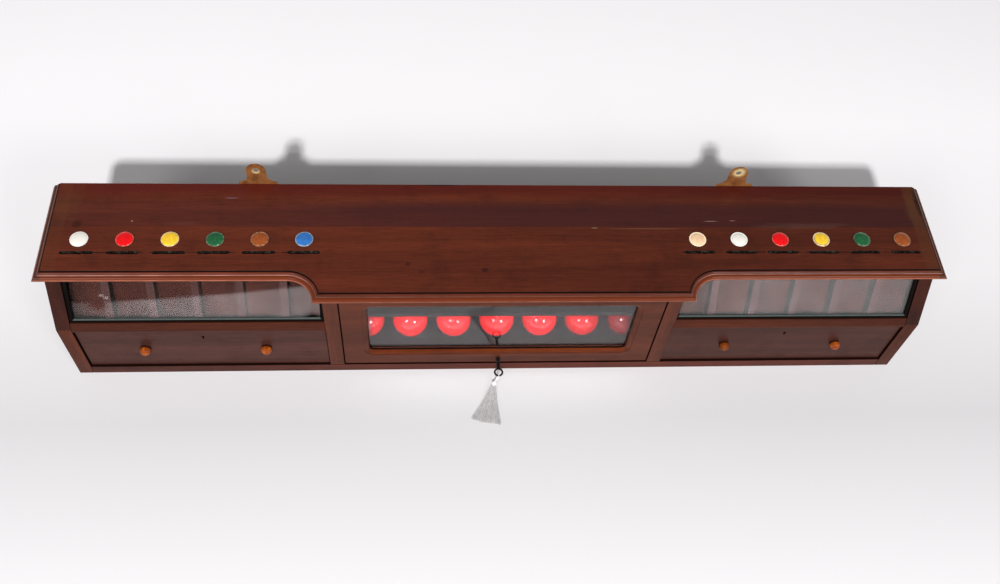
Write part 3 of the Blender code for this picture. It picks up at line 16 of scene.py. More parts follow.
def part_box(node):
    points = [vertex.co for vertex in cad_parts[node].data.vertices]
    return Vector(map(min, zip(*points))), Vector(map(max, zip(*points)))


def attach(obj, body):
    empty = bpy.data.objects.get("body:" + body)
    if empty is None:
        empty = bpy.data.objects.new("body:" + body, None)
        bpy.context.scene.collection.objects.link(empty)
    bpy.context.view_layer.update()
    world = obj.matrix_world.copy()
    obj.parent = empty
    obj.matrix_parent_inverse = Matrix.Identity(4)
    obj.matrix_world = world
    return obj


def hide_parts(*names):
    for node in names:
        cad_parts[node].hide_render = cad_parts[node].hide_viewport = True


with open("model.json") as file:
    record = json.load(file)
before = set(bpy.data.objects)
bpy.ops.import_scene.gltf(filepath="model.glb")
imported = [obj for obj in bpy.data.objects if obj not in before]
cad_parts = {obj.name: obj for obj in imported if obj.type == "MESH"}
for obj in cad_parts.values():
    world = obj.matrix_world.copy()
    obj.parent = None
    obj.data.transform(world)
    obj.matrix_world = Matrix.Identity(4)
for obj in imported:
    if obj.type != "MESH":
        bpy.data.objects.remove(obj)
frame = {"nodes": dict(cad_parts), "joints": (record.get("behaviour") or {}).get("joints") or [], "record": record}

LOG = logging.getLogger("scoreboard")

Colour = tuple[float, float, float]
Point = tuple[float, float, float]
Socket = bpy.types.NodeSocket
Feed = Union[float, Sequence[float], Socket]
Layer = Union[tuple[Socket, Colour], tuple[Socket, Colour, str]]
Piece = bpy.types.Object
Face = bpy.types.MeshPolygon

SEAT_GAP = 0.0003
MERGE_DISTANCE = 0.000005
CUT_OVERRUN = 0.002
CRISP_ANGLE = math.radians(32)
FLAT_ANGLE = math.radians(0.5)
EASE_STEPS = 2
SQUARE_ON = 0.9
HAIR = 0.0001
BOARD_ARRIS = 0.0005
STEEL_ARRIS = 0.0002


class Side(Enum):
    """The two ends of the case."""

    LEFT = -1
    RIGHT = 1

    @property
    def label(self) -> str:
        """Word that starts the names of this side's nodes."""
        return self.name.lower()

    def node(self, part: str) -> str:
        """Name of this side's node for a part."""
        return f"{self.label}_{part}"


class Grain(Enum):
    """Way that a board's fibres run, as the share of a pattern's pace along each axis."""

    ALONG_X = (0.045, 1.0, 1.0)
    ALONG_Y = (1.0, 0.045, 1.0)
    ALONG_Z = (1.0, 1.0, 0.045)


def linear(colour: Colour) -> tuple[float, float, float, float]:
    """Scene colour of a colour written as display values.

    Args:
        colour: Red, green and blue from 0 to 1, as a screen shows them.

    Returns:
        Linear red, green and blue, with full alpha.
    """
    parts = [c / 12.92 if c <= 0.04045 else ((c + 0.055) / 1.055) ** 2.4 for c in colour]
    return (parts[0], parts[1], parts[2], 1.0)


def grade(ramp: bpy.types.ColorRamp, stops: Sequence[tuple[float, Sequence[float]]]) -> None:
    """Set a ramp's stops, each a place and a scene colour."""
    while len(ramp.elements) < len(stops):
        ramp.elements.new(1.0)
    for rung, (place, colour) in zip(ramp.elements, stops):
        rung.position = place
        rung.color = colour


def linked(name: str, data: bpy.types.ID) -> Piece:
    """New object in the scene, around a mesh, a curve, a lamp or a camera."""
    made = bpy.data.objects.new(name, data)
    bpy.context.collection.objects.link(made)
    return made


class Recipe:
    """One material being mixed from nodes, around its Principled shader."""

    def __init__(self, name: str) -> None:
        """Start a material.

        Args:
            name: Name of the material.
        """
        self.material = bpy.data.materials.new(name)
        self.material.use_nodes = True
        self.tree = self.material.node_tree
        self.shader = self.tree.nodes["Principled BSDF"]
        self.place = self.add("ShaderNodeTexCoord").outputs["Object"]

    def add(self, kind: str, **settings: object) -> bpy.types.Node:
        """Add a node.

        Args:
            kind: Blender's name of the node type.
            **settings: Properties to set on the node.

        Returns:
            The new node.
        """
        node = self.tree.nodes.new(kind)
        for name, value in settings.items():
            setattr(node, name, value)
        return node

    def feed(self, socket: Socket, value: Feed) -> None:
        """Link a socket to an output, or set its own value."""
        if isinstance(value, Socket):
            self.tree.links.new(value, socket)
        else:
            socket.default_value = value

    def set(self, **values: Feed) -> None:
        """Feed the shader's sockets, named with underscores for spaces."""
        for name, value in values.items():
            self.feed(self.shader.inputs[name.replace("_", " ")], value)

    def scaled(self, pace: Sequence[float], start: Sequence[float] = (0.0, 0.0, 0.0)) -> Socket:
        """Object coordinates measured from a start and stretched by a pace on each axis."""
        moved = self.sum("SUBTRACT", self.place, start, "VectorMath")
        return self.sum("MULTIPLY", moved, pace, "VectorMath")

    def noise(self, where: Socket, scale: float, detail: float = 2.0, rough: float = 0.5,
              swirl: float = 0.0) -> Socket:
        """Noise pattern.

        Args:
            where: Coordinates that it is read at.
            scale: Features in each metre.
            detail: Octaves.
            rough: Strength of the finer octaves.
            swirl: Distortion.

        Returns:
            Output from 0 to 1.
        """
        node = self.add("ShaderNodeTexNoise")
        values = {"Vector": where, "Scale": scale, "Detail": detail, "Roughness": rough, "Distortion": swirl}
        for name, value in values.items():
            self.feed(node.inputs[name], value)
        return node.outputs["Fac"]

    def ramp(self, value: Socket, stops: Sequence[tuple[float, Colour]]) -> Socket:
        """Colour that follows a value through stops of place and display colour."""
        node = self.add("ShaderNodeValToRGB")
        self.feed(node.inputs["Fac"], value)
        grade(node.color_ramp, [(place, linear(colour)) for place, colour in stops])
        return node.outputs["Color"]

    def fit(self, value: Socket, low: float, high: float, at_low: float = 0.0,
            at_high: float = 1.0) -> Socket:
        """Value that runs smoothly from one level to another between two readings of its source."""
        node = self.add("ShaderNodeMapRange", interpolation_type="SMOOTHSTEP")
        for name, number in (("From Min", low), ("From Max", high), ("To Min", at_low), ("To Max", at_high)):
            self.feed(node.inputs[name], number)
        self.feed(node.inputs["Value"], value)
        return node.outputs["Result"]

    def sum(self, operation: str, first: Feed, second: Feed = 0.0, kind: str = "Math") -> Socket:
        """Result of arithmetic on two values, or on two vectors."""
        node = self.add(f"ShaderNode{kind}", operation=operation)
        self.feed(node.inputs[0], first)
        self.feed(node.inputs[1], second)
        return node.outputs[0]

    def times(self, first: Feed, second: Feed) -> Socket:
        """Product of two values."""
        return self.sum("MULTIPLY", first, second)

    def blend(self, share: Feed, under: Feed, over: Feed, mode: str = "MIX") -> Socket:
        """Colour laid over another.

        Args:
            share: How much of the upper colour shows.
            under: Lower colour, an output or a display colour.
            over: Upper colour, an output or a display colour.
            mode: Blender's blend type.

        Returns:
            The blended colour.
        """
        node = self.add("ShaderNodeMix", data_type="RGBA", blend_type=mode)
        self.feed(node.inputs["Factor"], share)
        for name, value in (("A", under), ("B", over)):
            self.feed(node.inputs[name], value if isinstance(value, Socket) else linear(value))
        return node.outputs["Result"]

    def axis(self, name: str) -> Socket:
        """One of the object coordinates, X, Y or Z."""
        node = self.add("ShaderNodeSeparateXYZ")
        self.feed(node.inputs[0], self.place)
        return node.outputs[name]

    def spot(self, centre: Point, reach: Point, ragged: float = 0.35) -> Socket:
        """Mask of a ragged blot, 1 at its middle and 0 past its reach on each axis."""
        near = self.scaled([1.0 / size for size in reach], centre)
        length = self.add("ShaderNodeVectorMath", operation="LENGTH")
        self.feed(length.inputs[0], near)
        worn = self.times(self.noise(near, 2.2, 3.0, 0.6), ragged * 2.0)
        far = self.sum("ADD", length.outputs["Value"], self.sum("SUBTRACT", worn, ragged))
        return self.fit(far, 0.35, 1.0, 1.0, 0.0)

    def relief(self, height: Socket, depth: float, strength: float = 1.0) -> None:
        """Raise the surface by a height pattern of so many metres."""
        node = self.add("ShaderNodeBump")
        self.feed(node.inputs["Height"], height)
        self.feed(node.inputs["Distance"], depth)
        self.feed(node.inputs["Strength"], strength)
        self.feed(self.shader.inputs["Normal"], node.outputs["Normal"])


@dataclass(frozen=True)
class Finish:
    """Finish of a surface, with the name of its material and the record's slot that it belongs to."""

    name: str
    slot: str

    def mix(self, recipe: Recipe) -> None:
        """Feed the shader, in each kind of finish's own way."""
        raise NotImplementedError

    def make(self) -> bpy.types.Material:
        """The finished material."""
        recipe = Recipe(self.name)
        self.mix(recipe)
        return recipe.material


@dataclass(frozen=True)
class Wood(Finish):
    """Wood with its figure, fibres and pores, under a coat of polish."""

    dark: Colour
    middle: Colour
    light: Colour
    grain: Grain = Grain.ALONG_X
    figure: float = 26.0
    fibre: float = 520.0
    pore: float = 1500.0
    pore_tone: float = 0.45
    rough: float = 0.34
    shine: float = 0.06
    coat: float = 0.05
    coat_rough: float = 0.15
    grime: float = 0.35

    def base(self, recipe: Recipe) -> tuple[Socket, Socket]:
        """Colour and fine height of the bare wood.

        Args:
            recipe: Material that it is mixed in.

        Returns:
            Colour, and height from 0 to 1.
        """
        along = recipe.scaled(self.grain.value)
        figure = recipe.noise(along, self.figure, 4.0, 0.62, 0.35)
        fibre = recipe.noise(along, self.fibre, 3.0, 0.65)
        pores = recipe.fit(recipe.noise(along, self.pore, 1.0, 0.4), 0.60, 0.74)
        tones = ((0.30, self.dark), (0.50, self.middle), (0.72, self.light))
        colour = recipe.ramp(figure, tones)
        shade = recipe.ramp(fibre, ((0.25, (0.74, 0.72, 0.70)), (0.75, (1.0, 1.0, 1.0))))
        colour = recipe.blend(0.8, colour, shade, "MULTIPLY")
        pore_shade = recipe.times(pores, self.pore_tone)
        colour = recipe.blend(pore_shade, colour, (0.10, 0.045, 0.035))
        blotch = recipe.fit(recipe.noise(recipe.place, 17.0, 4.0, 0.7), 0.48, 0.80)
        colour = recipe.blend(recipe.times(blotch, self.grime), colour, (0.10, 0.05, 0.04))
        height = recipe.sum("SUBTRACT", fibre, recipe.times(pores, 0.8))
        return colour, height

    def layers(self, recipe: Recipe) -> Iterator[Layer]:
        """Layers over the bare wood, of age and of painted light, none on a plain board."""
        return iter(())

    def lacquer(self, recipe: Recipe) -> Feed:
        """Weight of the coat of polish."""
        return self.coat

    def mix(self, recipe: Recipe) -> None:
        """Feed the shader."""
        colour, height = self.base(recipe)
        for share, tone, *mode in self.layers(recipe):
            colour = recipe.blend(share, colour, tone, *mode)
        recipe.set(Base_Color=colour, Specular_IOR_Level=self.shine)
        recipe.set(Coat_Weight=self.lacquer(recipe), Coat_Roughness=self.coat_rough)
        smear = recipe.noise(recipe.place, 34.0, 4.0, 0.7)
        recipe.set(Roughness=recipe.fit(smear, 0.3, 0.75, self.rough - 0.03, self.rough + 0.06))
        recipe.relief(height, 0.00006, 0.6)


# Tones of the marks on the top board
BLACK, GOLD = (0.09, 0.05, 0.05), (0.38, 0.25, 0.14)
PALE, PLUM = (0.62, 0.50, 0.42), (0.45, 0.36, 0.40)


@dataclass(frozen=True)
class TopWood(Wood):
    """Top board's wood: a purple band behind painted as a dark reflection, redder back edge, worn ends, painted
    shade towards the right, and old marks.
    """

    shine: float = 0.15
    coat: float = 0.18
    height: float = 0.2154
    back_edge: float = 0.0888
    slot_y: float = -0.0281
    ledge: float = 0.21088
    foot: float = 0.20725
    band_edge: float = 0.0137
    band_end: float = 0.0560
    end_strip: float = 0.5765
    end_moulding: float = 0.5940
    mark_rise: float = 0.004
    marks: tuple[tuple[float, float, float, float, Colour, float, float], ...] = (
        (-0.0274, -0.0565, 0.0060, 0.0045, BLACK, 0.65, 0.35),
        (-0.1282, -0.0468, 0.0050, 0.0045, BLACK, 0.50, 0.35),
        (-0.1099, -0.0595, 0.0070, 0.0040, BLACK, 0.35, 0.35),
        (-0.5604, 0.0177, 0.0090, 0.0080, BLACK, 0.45, 0.35),
        (-0.0814, 0.0870, 0.0440, 0.0040, BLACK, 0.85, 0.2),
        (0.5920, 0.0560, 0.0045, 0.0300, BLACK, 0.85, 0.2),
        (-0.5750, 0.0550, 0.0240, 0.0400, GOLD, 0.17, 0.9),
        (0.5840, 0.0450, 0.0150, 0.0380, GOLD, 0.18, 0.9),
        (0.2880, 0.0240, 0.0130, 0.0007, PALE, 0.65, 0.5),
        (0.3190, 0.0250, 0.0060, 0.0012, PALE, 0.35, 0.6),
        (0.1250, 0.0122, 0.0060, 0.0014, PALE, 0.40, 0.6),
        (0.2000, 0.0110, 0.0700, 0.0006, PALE, 0.30, 0.5),
        (-0.4908, 0.0228, 0.0016, 0.0014, PALE, 0.90, 0.1),
        (-0.3649, 0.0618, 0.0120, 0.0014, PLUM, 0.55, 0.6),
        (-0.4270, 0.0190, 0.0300, 0.0030, PALE, 0.04, 0.9),
        (0.4200, 0.0160, 0.0900, 0.0060, PALE, 0.06, 0.9),
    )

    def band_depth(self, recipe: Recipe) -> Socket:
        """Strength of the painted reflection band, faint towards the left end."""
        return recipe.fit(recipe.axis("X"), -0.50, -0.12, 0.30, 0.68)

    def lacquer(self, recipe: Recipe) -> Feed:
        """Weight of the coat, thicker in the moulding than on the worn flat."""
        return recipe.fit(recipe.axis("Z"), self.height - 0.0008, self.height - 0.0003, 0.32, self.coat)

    def layers(self, recipe: Recipe) -> Iterator[Layer]:
        """The painted reflection band, the red back edge, the worn ends, painted shade towards the right, the slot
        lines and the marks, as share and tone.
        """
        across = recipe.axis("Y")
        # Painted reflection: a purple band across the flat behind the slots stands for a dark reflection in the
        # polish.
        drift = recipe.noise(recipe.scaled((3.0, 9.0, 1.0)), 1.0, 3.0, 0.6)
        wander = recipe.sum("ADD", across, recipe.times(recipe.sum("SUBTRACT", drift, 0.5), 0.02))
        front = recipe.fit(across, self.band_edge - 0.0009, self.band_edge + 0.0012)
        back = recipe.fit(wander, self.band_end - 0.014, self.band_end + 0.010, 1.0, 0.0)
        reflection_band = recipe.times(front, recipe.times(back, self.band_depth(recipe)))
        yield reflection_band, (0.224, 0.112, 0.122)
        yield recipe.times(recipe.fit(wander, 0.058, 0.080), 0.55), (0.33, 0.085, 0.07)
        width = recipe.sum("ABSOLUTE", recipe.axis("X"))
        strip = recipe.times(recipe.fit(width, self.end_strip - 0.002, self.end_strip + 0.002),
                             recipe.fit(recipe.axis("X"), -0.5, 0.5, 0.16, 0.42))
        yield strip, (0.36, 0.22, 0.13)
        # Painted shade: the top is darkened towards its right end, as less light falls there.
        yield recipe.fit(recipe.axis("X"), -0.65, 0.65), (0.88, 0.88, 0.88), "MULTIPLY"
        arris = recipe.fit(across, self.back_edge - 0.0018, self.back_edge - 0.0010, 0.0, 0.7)
        yield arris, (0.10, 0.05, 0.05)
        off_line = recipe.sum("ABSOLUTE", recipe.sum("SUBTRACT", across, self.slot_y))
        line = recipe.fit(off_line, 0.0003, 0.0014, 0.8, 0.0)
        bay = recipe.times(recipe.fit(width, 0.238, 0.244), recipe.fit(width, 0.574, 0.580, 1.0, 0.0))
        line = recipe.times(line, bay)
        broken = recipe.fit(recipe.noise(recipe.scaled((90.0, 20.0, 1.0)), 1.0, 2.0), 0.38, 0.58)
        yield recipe.times(line, broken), (0.05, 0.04, 0.04)
        up = recipe.axis("Z")
        yield recipe.fit(up, self.ledge + 0.0001, self.ledge + 0.0007, 0.66, 0.0), (0.40, 0.165, 0.055)
        yield recipe.fit(up, self.foot - 0.0006, self.foot - 0.0003, 0.7, 0.0), (0.42, 0.22, 0.16)
        ends = recipe.fit(width, self.end_moulding - 0.0004, self.end_moulding + 0.0004, 0.0, 0.55)
        yield ends, (0.17, 0.11, 0.10)
        for x, y, along, deep, tone, strength, ragged in self.marks:
            blot = recipe.spot((x, y, self.height), (along, deep, self.mark_rise), ragged)
            yield recipe.times(blot, strength), tone


@dataclass(frozen=True)
class RubbedWood(Wood):
    """Narrow step of the moulding with a pale painted highlight, strongest in the left bay, less in the right one
    and at the ends.
    """

    pale: Colour = (0.80, 0.62, 0.58)
    left_share: float = 0.64
    middle_share: float = 0.15
    right_share: float = 0.45
    end_share: float = 0.25
    bay_start: float = 0.262
    bay_end: float = 0.5975
    fade: float = 0.012

    def layers(self, recipe: Recipe) -> Iterator[Layer]:
        """The painted highlight."""
        along = recipe.axis("X")
        left = recipe.fit(along, -self.bay_start - self.fade, -self.bay_start + self.fade,
                          self.left_share, self.middle_share)
        right = recipe.fit(along, self.bay_start - self.fade, self.bay_start + self.fade,
                           0.0, self.right_share - self.middle_share)
        width = recipe.sum("ABSOLUTE", along)
        ends = recipe.fit(width, self.bay_end - 0.0004, self.bay_end + 0.0004, 1.0, self.end_share)
        uneven = recipe.fit(recipe.noise(recipe.scaled((60.0, 60.0, 1.0)), 1.0, 3.0), 0.3, 0.7, 0.65, 1.1)
        yield recipe.times(recipe.times(recipe.sum("ADD", left, right), ends), uneven), self.pale


@dataclass(frozen=True)
class Paint(Finish):
    """Plain coat of paint or lacquer with dust and small wear, also used for colours that are painted light and
    shade.
    """

    tone: Colour
    worn: Colour
    rough: float = 0.45
    wear: float = 0.25
    shine: float = 0.2
    fleck: Point = (160.0, 160.0, 160.0)

    def mix(self, recipe: Recipe) -> None:
        """Feed the shader."""
        dust = recipe.fit(recipe.noise(recipe.scaled(self.fleck), 1.0, 5.0, 0.7), 0.45, 0.72)
        haze = recipe.noise(recipe.place, 14.0, 3.0, 0.6)
        colour = recipe.blend(recipe.times(dust, self.wear), self.tone, self.worn)
        recipe.set(Base_Color=colour, Specular_IOR_Level=self.shine)
        recipe.set(Roughness=recipe.fit(haze, 0.3, 0.8, self.rough - 0.08, self.rough + 0.1))
        recipe.relief(recipe.noise(recipe.place, 700.0, 3.0, 0.6), 0.00004, 0.5)


@dataclass(frozen=True)
class Enamel(Finish):
    """Glossy enamel, a little uneven in colour, with fine crazing."""

    tone: Colour
    rough: float
    depth: float

    def mix(self, recipe: Recipe) -> None:
        """Feed the shader."""
        cloud = recipe.fit(recipe.noise(recipe.place, 210.0, 3.0, 0.6), 0.35, 0.75)
        deep = tuple(self.depth * part for part in self.tone)
        colour = recipe.blend(cloud, deep, self.tone)
        speck = recipe.fit(recipe.noise(recipe.place, 1500.0, 2.0), 0.72, 0.80, 0.0, 0.30)
        colour = recipe.blend(speck, colour, (0.20, 0.14, 0.10))
        recipe.set(Base_Color=colour, Roughness=self.rough, Specular_IOR_Level=0.3)
        recipe.set(Coat_Weight=0.6, Coat_Roughness=0.06)
        recipe.relief(recipe.noise(recipe.place, 260.0, 2.0), 0.00005, 0.5)


@dataclass(frozen=True)
class Metal(Finish):
    """Metal with patches of tarnish, fine rubbing and pits, and painted highlights round given eyes."""

    bright: Colour
    tarnish: Colour
    rough: float = 0.3
    patches: float = 95.0
    metallic: float = 1.0
    pitted: float = 0.00004
    eyes: tuple[tuple[Point, float], ...] = ()
    # Pale tone of the painted highlight round each eye.
    worn: Colour = (0.96, 0.86, 0.62)

    def mix(self, recipe: Recipe) -> None:
        """Feed the shader."""
        patch = recipe.fit(recipe.noise(recipe.place, self.patches, 5.0, 0.65), 0.36, 0.68)
        rubbing_and_highlight = recipe.noise(recipe.scaled((1.0, 1.0, 0.1)), 2600.0, 2.0)
        colour = recipe.blend(patch, self.bright, self.tarnish)
        colour = recipe.blend(recipe.fit(rubbing_and_highlight, 0.4, 0.8, 0.0, 0.3), colour, self.bright)
        # Painted highlight: a pale spot round each eye stands for the countersink catching the light.
        for centre, radius in self.eyes:
            rubbing_and_highlight = recipe.spot(centre, (radius, radius, radius), 0.1)
            colour = recipe.blend(rubbing_and_highlight, colour, self.worn)
        recipe.set(Base_Color=colour, Metallic=self.metallic, Specular_IOR_Level=0.3)
        recipe.set(Roughness=recipe.fit(patch, 0.0, 1.0, self.rough, self.rough + 0.22))
        recipe.relief(recipe.noise(recipe.place, 900.0, 4.0, 0.7), self.pitted, 0.7)


@dataclass(frozen=True)
class Glass(Finish):
    """Old glass, thin and clear, with a pale film painted on as the bright floor's reflection, left off above a
    curved line where a dark reflection is painted.
    """

    tint: Colour = (0.955, 0.965, 0.96)
    index: float = 1.36
    film: float = 0.02
    thickest: float = 1.25
    film_tone: Colour = (0.94, 0.93, 0.94)
    wiped: Union[Point, None] = None
    wipe_centre: float = -0.409
    wipe_soft: float = 0.003
    # Dark blots in the veil and pale streaks over them are painted reflections.
    blots: tuple[tuple[Point, Point], ...] = (
        ((-0.5385, -0.0700, 0.1505), (0.0170, 0.0400, 0.0120)),
        ((-0.2570, -0.0700, 0.1240), (0.0180, 0.0400, 0.0170)))
    streaks: tuple[tuple[Point, Point], ...] = (
        ((-0.5310, -0.0700, 0.1622), (0.0062, 0.0400, 0.0016)),
        ((-0.5250, -0.0700, 0.1590), (0.0045, 0.0400, 0.0020)))
    thin_end: tuple[float, float, float] = (0.0, 0.0, 1.0)

    def coverage(self, recipe: Recipe) -> Socket:
        """Share of the glass that the painted reflection veil covers."""
        cloud = recipe.noise(recipe.place, 30.0, 5.0, 0.7)
        smear = recipe.fit(cloud, 0.3, 0.8, (2.0 - self.thickest) * self.film, self.thickest * self.film)
        start, end, share = self.thin_end
        if share < 1.0:
            smear = recipe.times(smear, recipe.fit(recipe.axis("X"), start, end, share, 1.0))
        if self.wiped is None:
            return smear
        square, slope, level = self.wiped
        across = recipe.sum("SUBTRACT", recipe.axis("X"), self.wipe_centre)
        curve = recipe.sum("ADD", recipe.times(across, square), slope)
        line = recipe.sum("ADD", recipe.times(curve, across), level)
        above = recipe.sum("SUBTRACT", recipe.axis("Z"), line)
        left = recipe.fit(above, -self.wipe_soft, self.wipe_soft, 1.0, 0.0)
        for blot in self.blots:
            left = recipe.times(left, recipe.sum("SUBTRACT", 1.0, recipe.spot(*blot, 0.2)))
        for streak in self.streaks:
            left = recipe.sum("ADD", left, recipe.times(recipe.spot(*streak, 0.2), 4.0))
        return recipe.times(smear, left)

    def mix(self, recipe: Recipe) -> None:
        """Feed the shader."""
        film = self.coverage(recipe)
        share = recipe.sum("DIVIDE", film, self.film * self.thickest)
        recipe.set(Base_Color=recipe.blend(share, self.tint, self.film_tone))
        recipe.set(Roughness=0.02, IOR=self.index, Transmission_Weight=recipe.sum("SUBTRACT", 1.0, film))
        recipe.relief(recipe.noise(recipe.place, 9.0, 0.0), 0.00010, 0.5)
        lamp = recipe.add("ShaderNodeLightPath").outputs["Is Shadow Ray"]
        clear = recipe.add("ShaderNodeBsdfTransparent")
        clear.inputs["Color"].default_value = linear((0.95, 0.955, 0.95))
        mix = recipe.add("ShaderNodeMixShader")
        recipe.feed(mix.inputs["Fac"], lamp)
        recipe.feed(mix.inputs[1], recipe.shader.outputs["BSDF"])
        recipe.feed(mix.inputs[2], clear.outputs["BSDF"])
        recipe.feed(recipe.tree.nodes["Material Output"].inputs["Surface"], mix.outputs["Shader"])


@dataclass(frozen=True)
class Resin(Finish):
    """Polished ball resin with faint clouds and hairline scuffs."""

    tone: Colour

    def mix(self, recipe: Recipe) -> None:
        """Feed the shader."""
        cloud = recipe.fit(recipe.noise(recipe.place, 38.0, 3.0), 0.35, 0.7)
        deep = tuple(0.92 * part for part in self.tone)
        colour = recipe.blend(cloud, deep, self.tone)
        scuffs = recipe.noise(recipe.scaled((1.0, 9.0, 3.0)), 110.0, 4.0, 0.75)
        recipe.set(Base_Color=colour, Roughness=recipe.fit(scuffs, 0.55, 0.8, 0.08, 0.20))
        recipe.set(Coat_Weight=1.0, Coat_Roughness=0.07, Coat_IOR=1.9)


@dataclass(frozen=True)
class Silk(Finish):
    """Grey floss silk with a soft sheen and threads a little apart in tone."""

    light: Colour = (0.79, 0.78, 0.78)
    dark: Colour = (0.55, 0.53, 0.54)

    def mix(self, recipe: Recipe) -> None:
        """Feed the shader."""
        thread = recipe.noise(recipe.scaled((1.0, 0.08, 1.0)), 1700.0, 2.0)
        tones = ((0.32, self.dark), (0.62, self.light))
        recipe.set(Base_Color=recipe.ramp(thread, tones), Roughness=0.42, Sheen_Weight=0.35)
        recipe.relief(recipe.noise(recipe.place, 3200.0, 2.0), 0.00003, 0.5)


class Palette:
    """Every finish of the scoreboard, each mixed once."""

    def __init__(self) -> None:
        """Name the finishes."""
        red_brown = ((0.275, 0.120, 0.079), (0.375, 0.168, 0.112), (0.45, 0.205, 0.130))
        brown = ((0.25, 0.130, 0.098), (0.325, 0.165, 0.115), (0.39, 0.195, 0.128))
        plum = ((0.245, 0.142, 0.125), (0.310, 0.180, 0.155), (0.36, 0.205, 0.17))
        bare = ((0.34, 0.22, 0.16), (0.43, 0.29, 0.21), (0.51, 0.36, 0.26))
        inner = ((0.195, 0.096, 0.078), (0.245, 0.125, 0.102), (0.295, 0.155, 0.122))
        amber = ((0.46, 0.20, 0.05), (0.59, 0.27, 0.07), (0.70, 0.37, 0.12))
        dark_amber = ((0.34, 0.145, 0.03), (0.44, 0.20, 0.045), (0.54, 0.28, 0.08))
        russet = ((0.245, 0.115, 0.085), (0.335, 0.155, 0.115), (0.40, 0.19, 0.135))
        shaded = ((0.17, 0.085, 0.065), (0.235, 0.11, 0.08), (0.285, 0.135, 0.09))
        umber = ((0.22, 0.105, 0.07), (0.295, 0.14, 0.09), (0.37, 0.18, 0.11))
        orange = ((0.28, 0.12, 0.045), (0.37, 0.16, 0.06), (0.46, 0.21, 0.085))
        dark_plum = ((0.205, 0.118, 0.102), (0.262, 0.15, 0.128), (0.305, 0.172, 0.142))
        # Centres and reaches of the painted highlights round the plates' eyes.
        eyes = (((-0.332, 0.0877, 0.242), 0.0070), ((0.332, 0.0877, 0.2445), 0.0118))
        self.top = TopWood("polished_top", "polished_top", *red_brown)
        self.ledge = RubbedWood("moulding_ledge", "polished_top", *red_brown)
        self.step = RubbedWood("moulding_foot", "polished_top", *red_brown, pale=(0.92, 0.58, 0.44),
                               left_share=0.48, middle_share=0.25, bay_end=0.6034)
        self.edge = RubbedWood("rubbed_arris", "polished_top", *red_brown, pale=(0.55, 0.43, 0.41),
                               left_share=0.6, right_share=0.3, bay_end=0.5937)
        self.case = Wood("case_wood", "case_wood", *russet)
        self.upright = Wood("case_wood_upright", "case_wood", *brown, grain=Grain.ALONG_Z)
        self.shaded = Wood("case_wood_shaded", "case_wood", *shaded, grain=Grain.ALONG_Z)
        self.rail = Wood("case_rail_wood", "case_wood", *umber)
        self.door = Wood("door_wood", "door_wood", *brown)
        # Painted light: the door's upward bottom moulding is painted a lit orange.
        self.orange = Wood("door_moulding", "door_wood", *orange)
        self.drawer = Wood("drawer_wood", "drawer_wood", *plum)
        self.dark_drawer = Wood("dark_drawer_wood", "drawer_wood", *dark_plum)
        self.inner = Wood("inner_wood", "inner_wood", *inner, grain=Grain.ALONG_Z, rough=0.6, coat=0.0)
        self.box = Wood("drawer_box_wood", "inner_wood", *bare, rough=0.6, coat=0.0)
        self.back = Wood("back_wood", "back_wood", *bare, rough=0.7, coat=0.0)
        self.turned = Wood("turned_wood", "turned_wood", *amber, grain=Grain.ALONG_Y, figure=180.0,
                           grime=0.15, coat=0.3)
        self.dark_turned = Wood("dark_turned_wood", "turned_wood", *dark_amber, grain=Grain.ALONG_Y,
                                figure=180.0, grime=0.2, coat=0.2)
        self.bead = Paint("black_bead", "black_bead", (0.035, 0.022, 0.018), (0.12, 0.07, 0.06), 0.5, 0.15,
                          shine=0.05)
        self.dust = Paint("bead_dust", "black_bead", (0.27, 0.30, 0.29), (0.38, 0.41, 0.39), 0.8)
        # Painted shade: near-black brown for the faces round the drawer openings, where shade falls.
        self.soot = Paint("case_soot", "case_wood", (0.085, 0.035, 0.025), (0.13, 0.06, 0.04), 0.7,
                          shine=0.05)
        self.grime = Paint("moulding_grime", "polished_top", (0.20, 0.085, 0.06), (0.28, 0.11, 0.07), 0.5)
        # Black paint round the door's glass, darkened further as painted shade along the jambs.
        self.sight = Paint("door_sight_black", "door_wood", (0.04, 0.02, 0.018), (0.09, 0.05, 0.04), 0.5,
                           shine=0.05)
        # Painted shade: the knobs' foot, in the shade of the head.
        self.foot = Paint("knob_foot", "turned_wood", (0.21, 0.095, 0.055), (0.28, 0.13, 0.07), 0.5,
                          shine=0.05)
        # Painted light on the magazine: shaded dark divider sides and lit pinkish front edges.
        self.cell = Paint("cell_side", "inner_wood", (0.07, 0.06, 0.055), (0.13, 0.12, 0.11), 0.7, shine=0.05)
        self.divider = Paint("divider_edge", "inner_wood", (0.25, 0.16, 0.155), (0.32, 0.22, 0.21), 0.6,
                             shine=0.05)
        # Near-black colour for the quirk below the flat.
        self.dirt = Paint("quirk_dirt", "black_bead", (0.05, 0.03, 0.028), (0.16, 0.08, 0.06), 0.6)
        self.lining = Paint("slot_lining", "polished_top", (0.07, 0.058, 0.05), (0.33, 0.32, 0.29), 0.7, 0.65,
                            fleck=(150.0, 900.0, 160.0))
        self.grey = Paint("dark_shelf", "dark_shelf", (0.10, 0.09, 0.092), (0.15, 0.14, 0.14), 0.55)
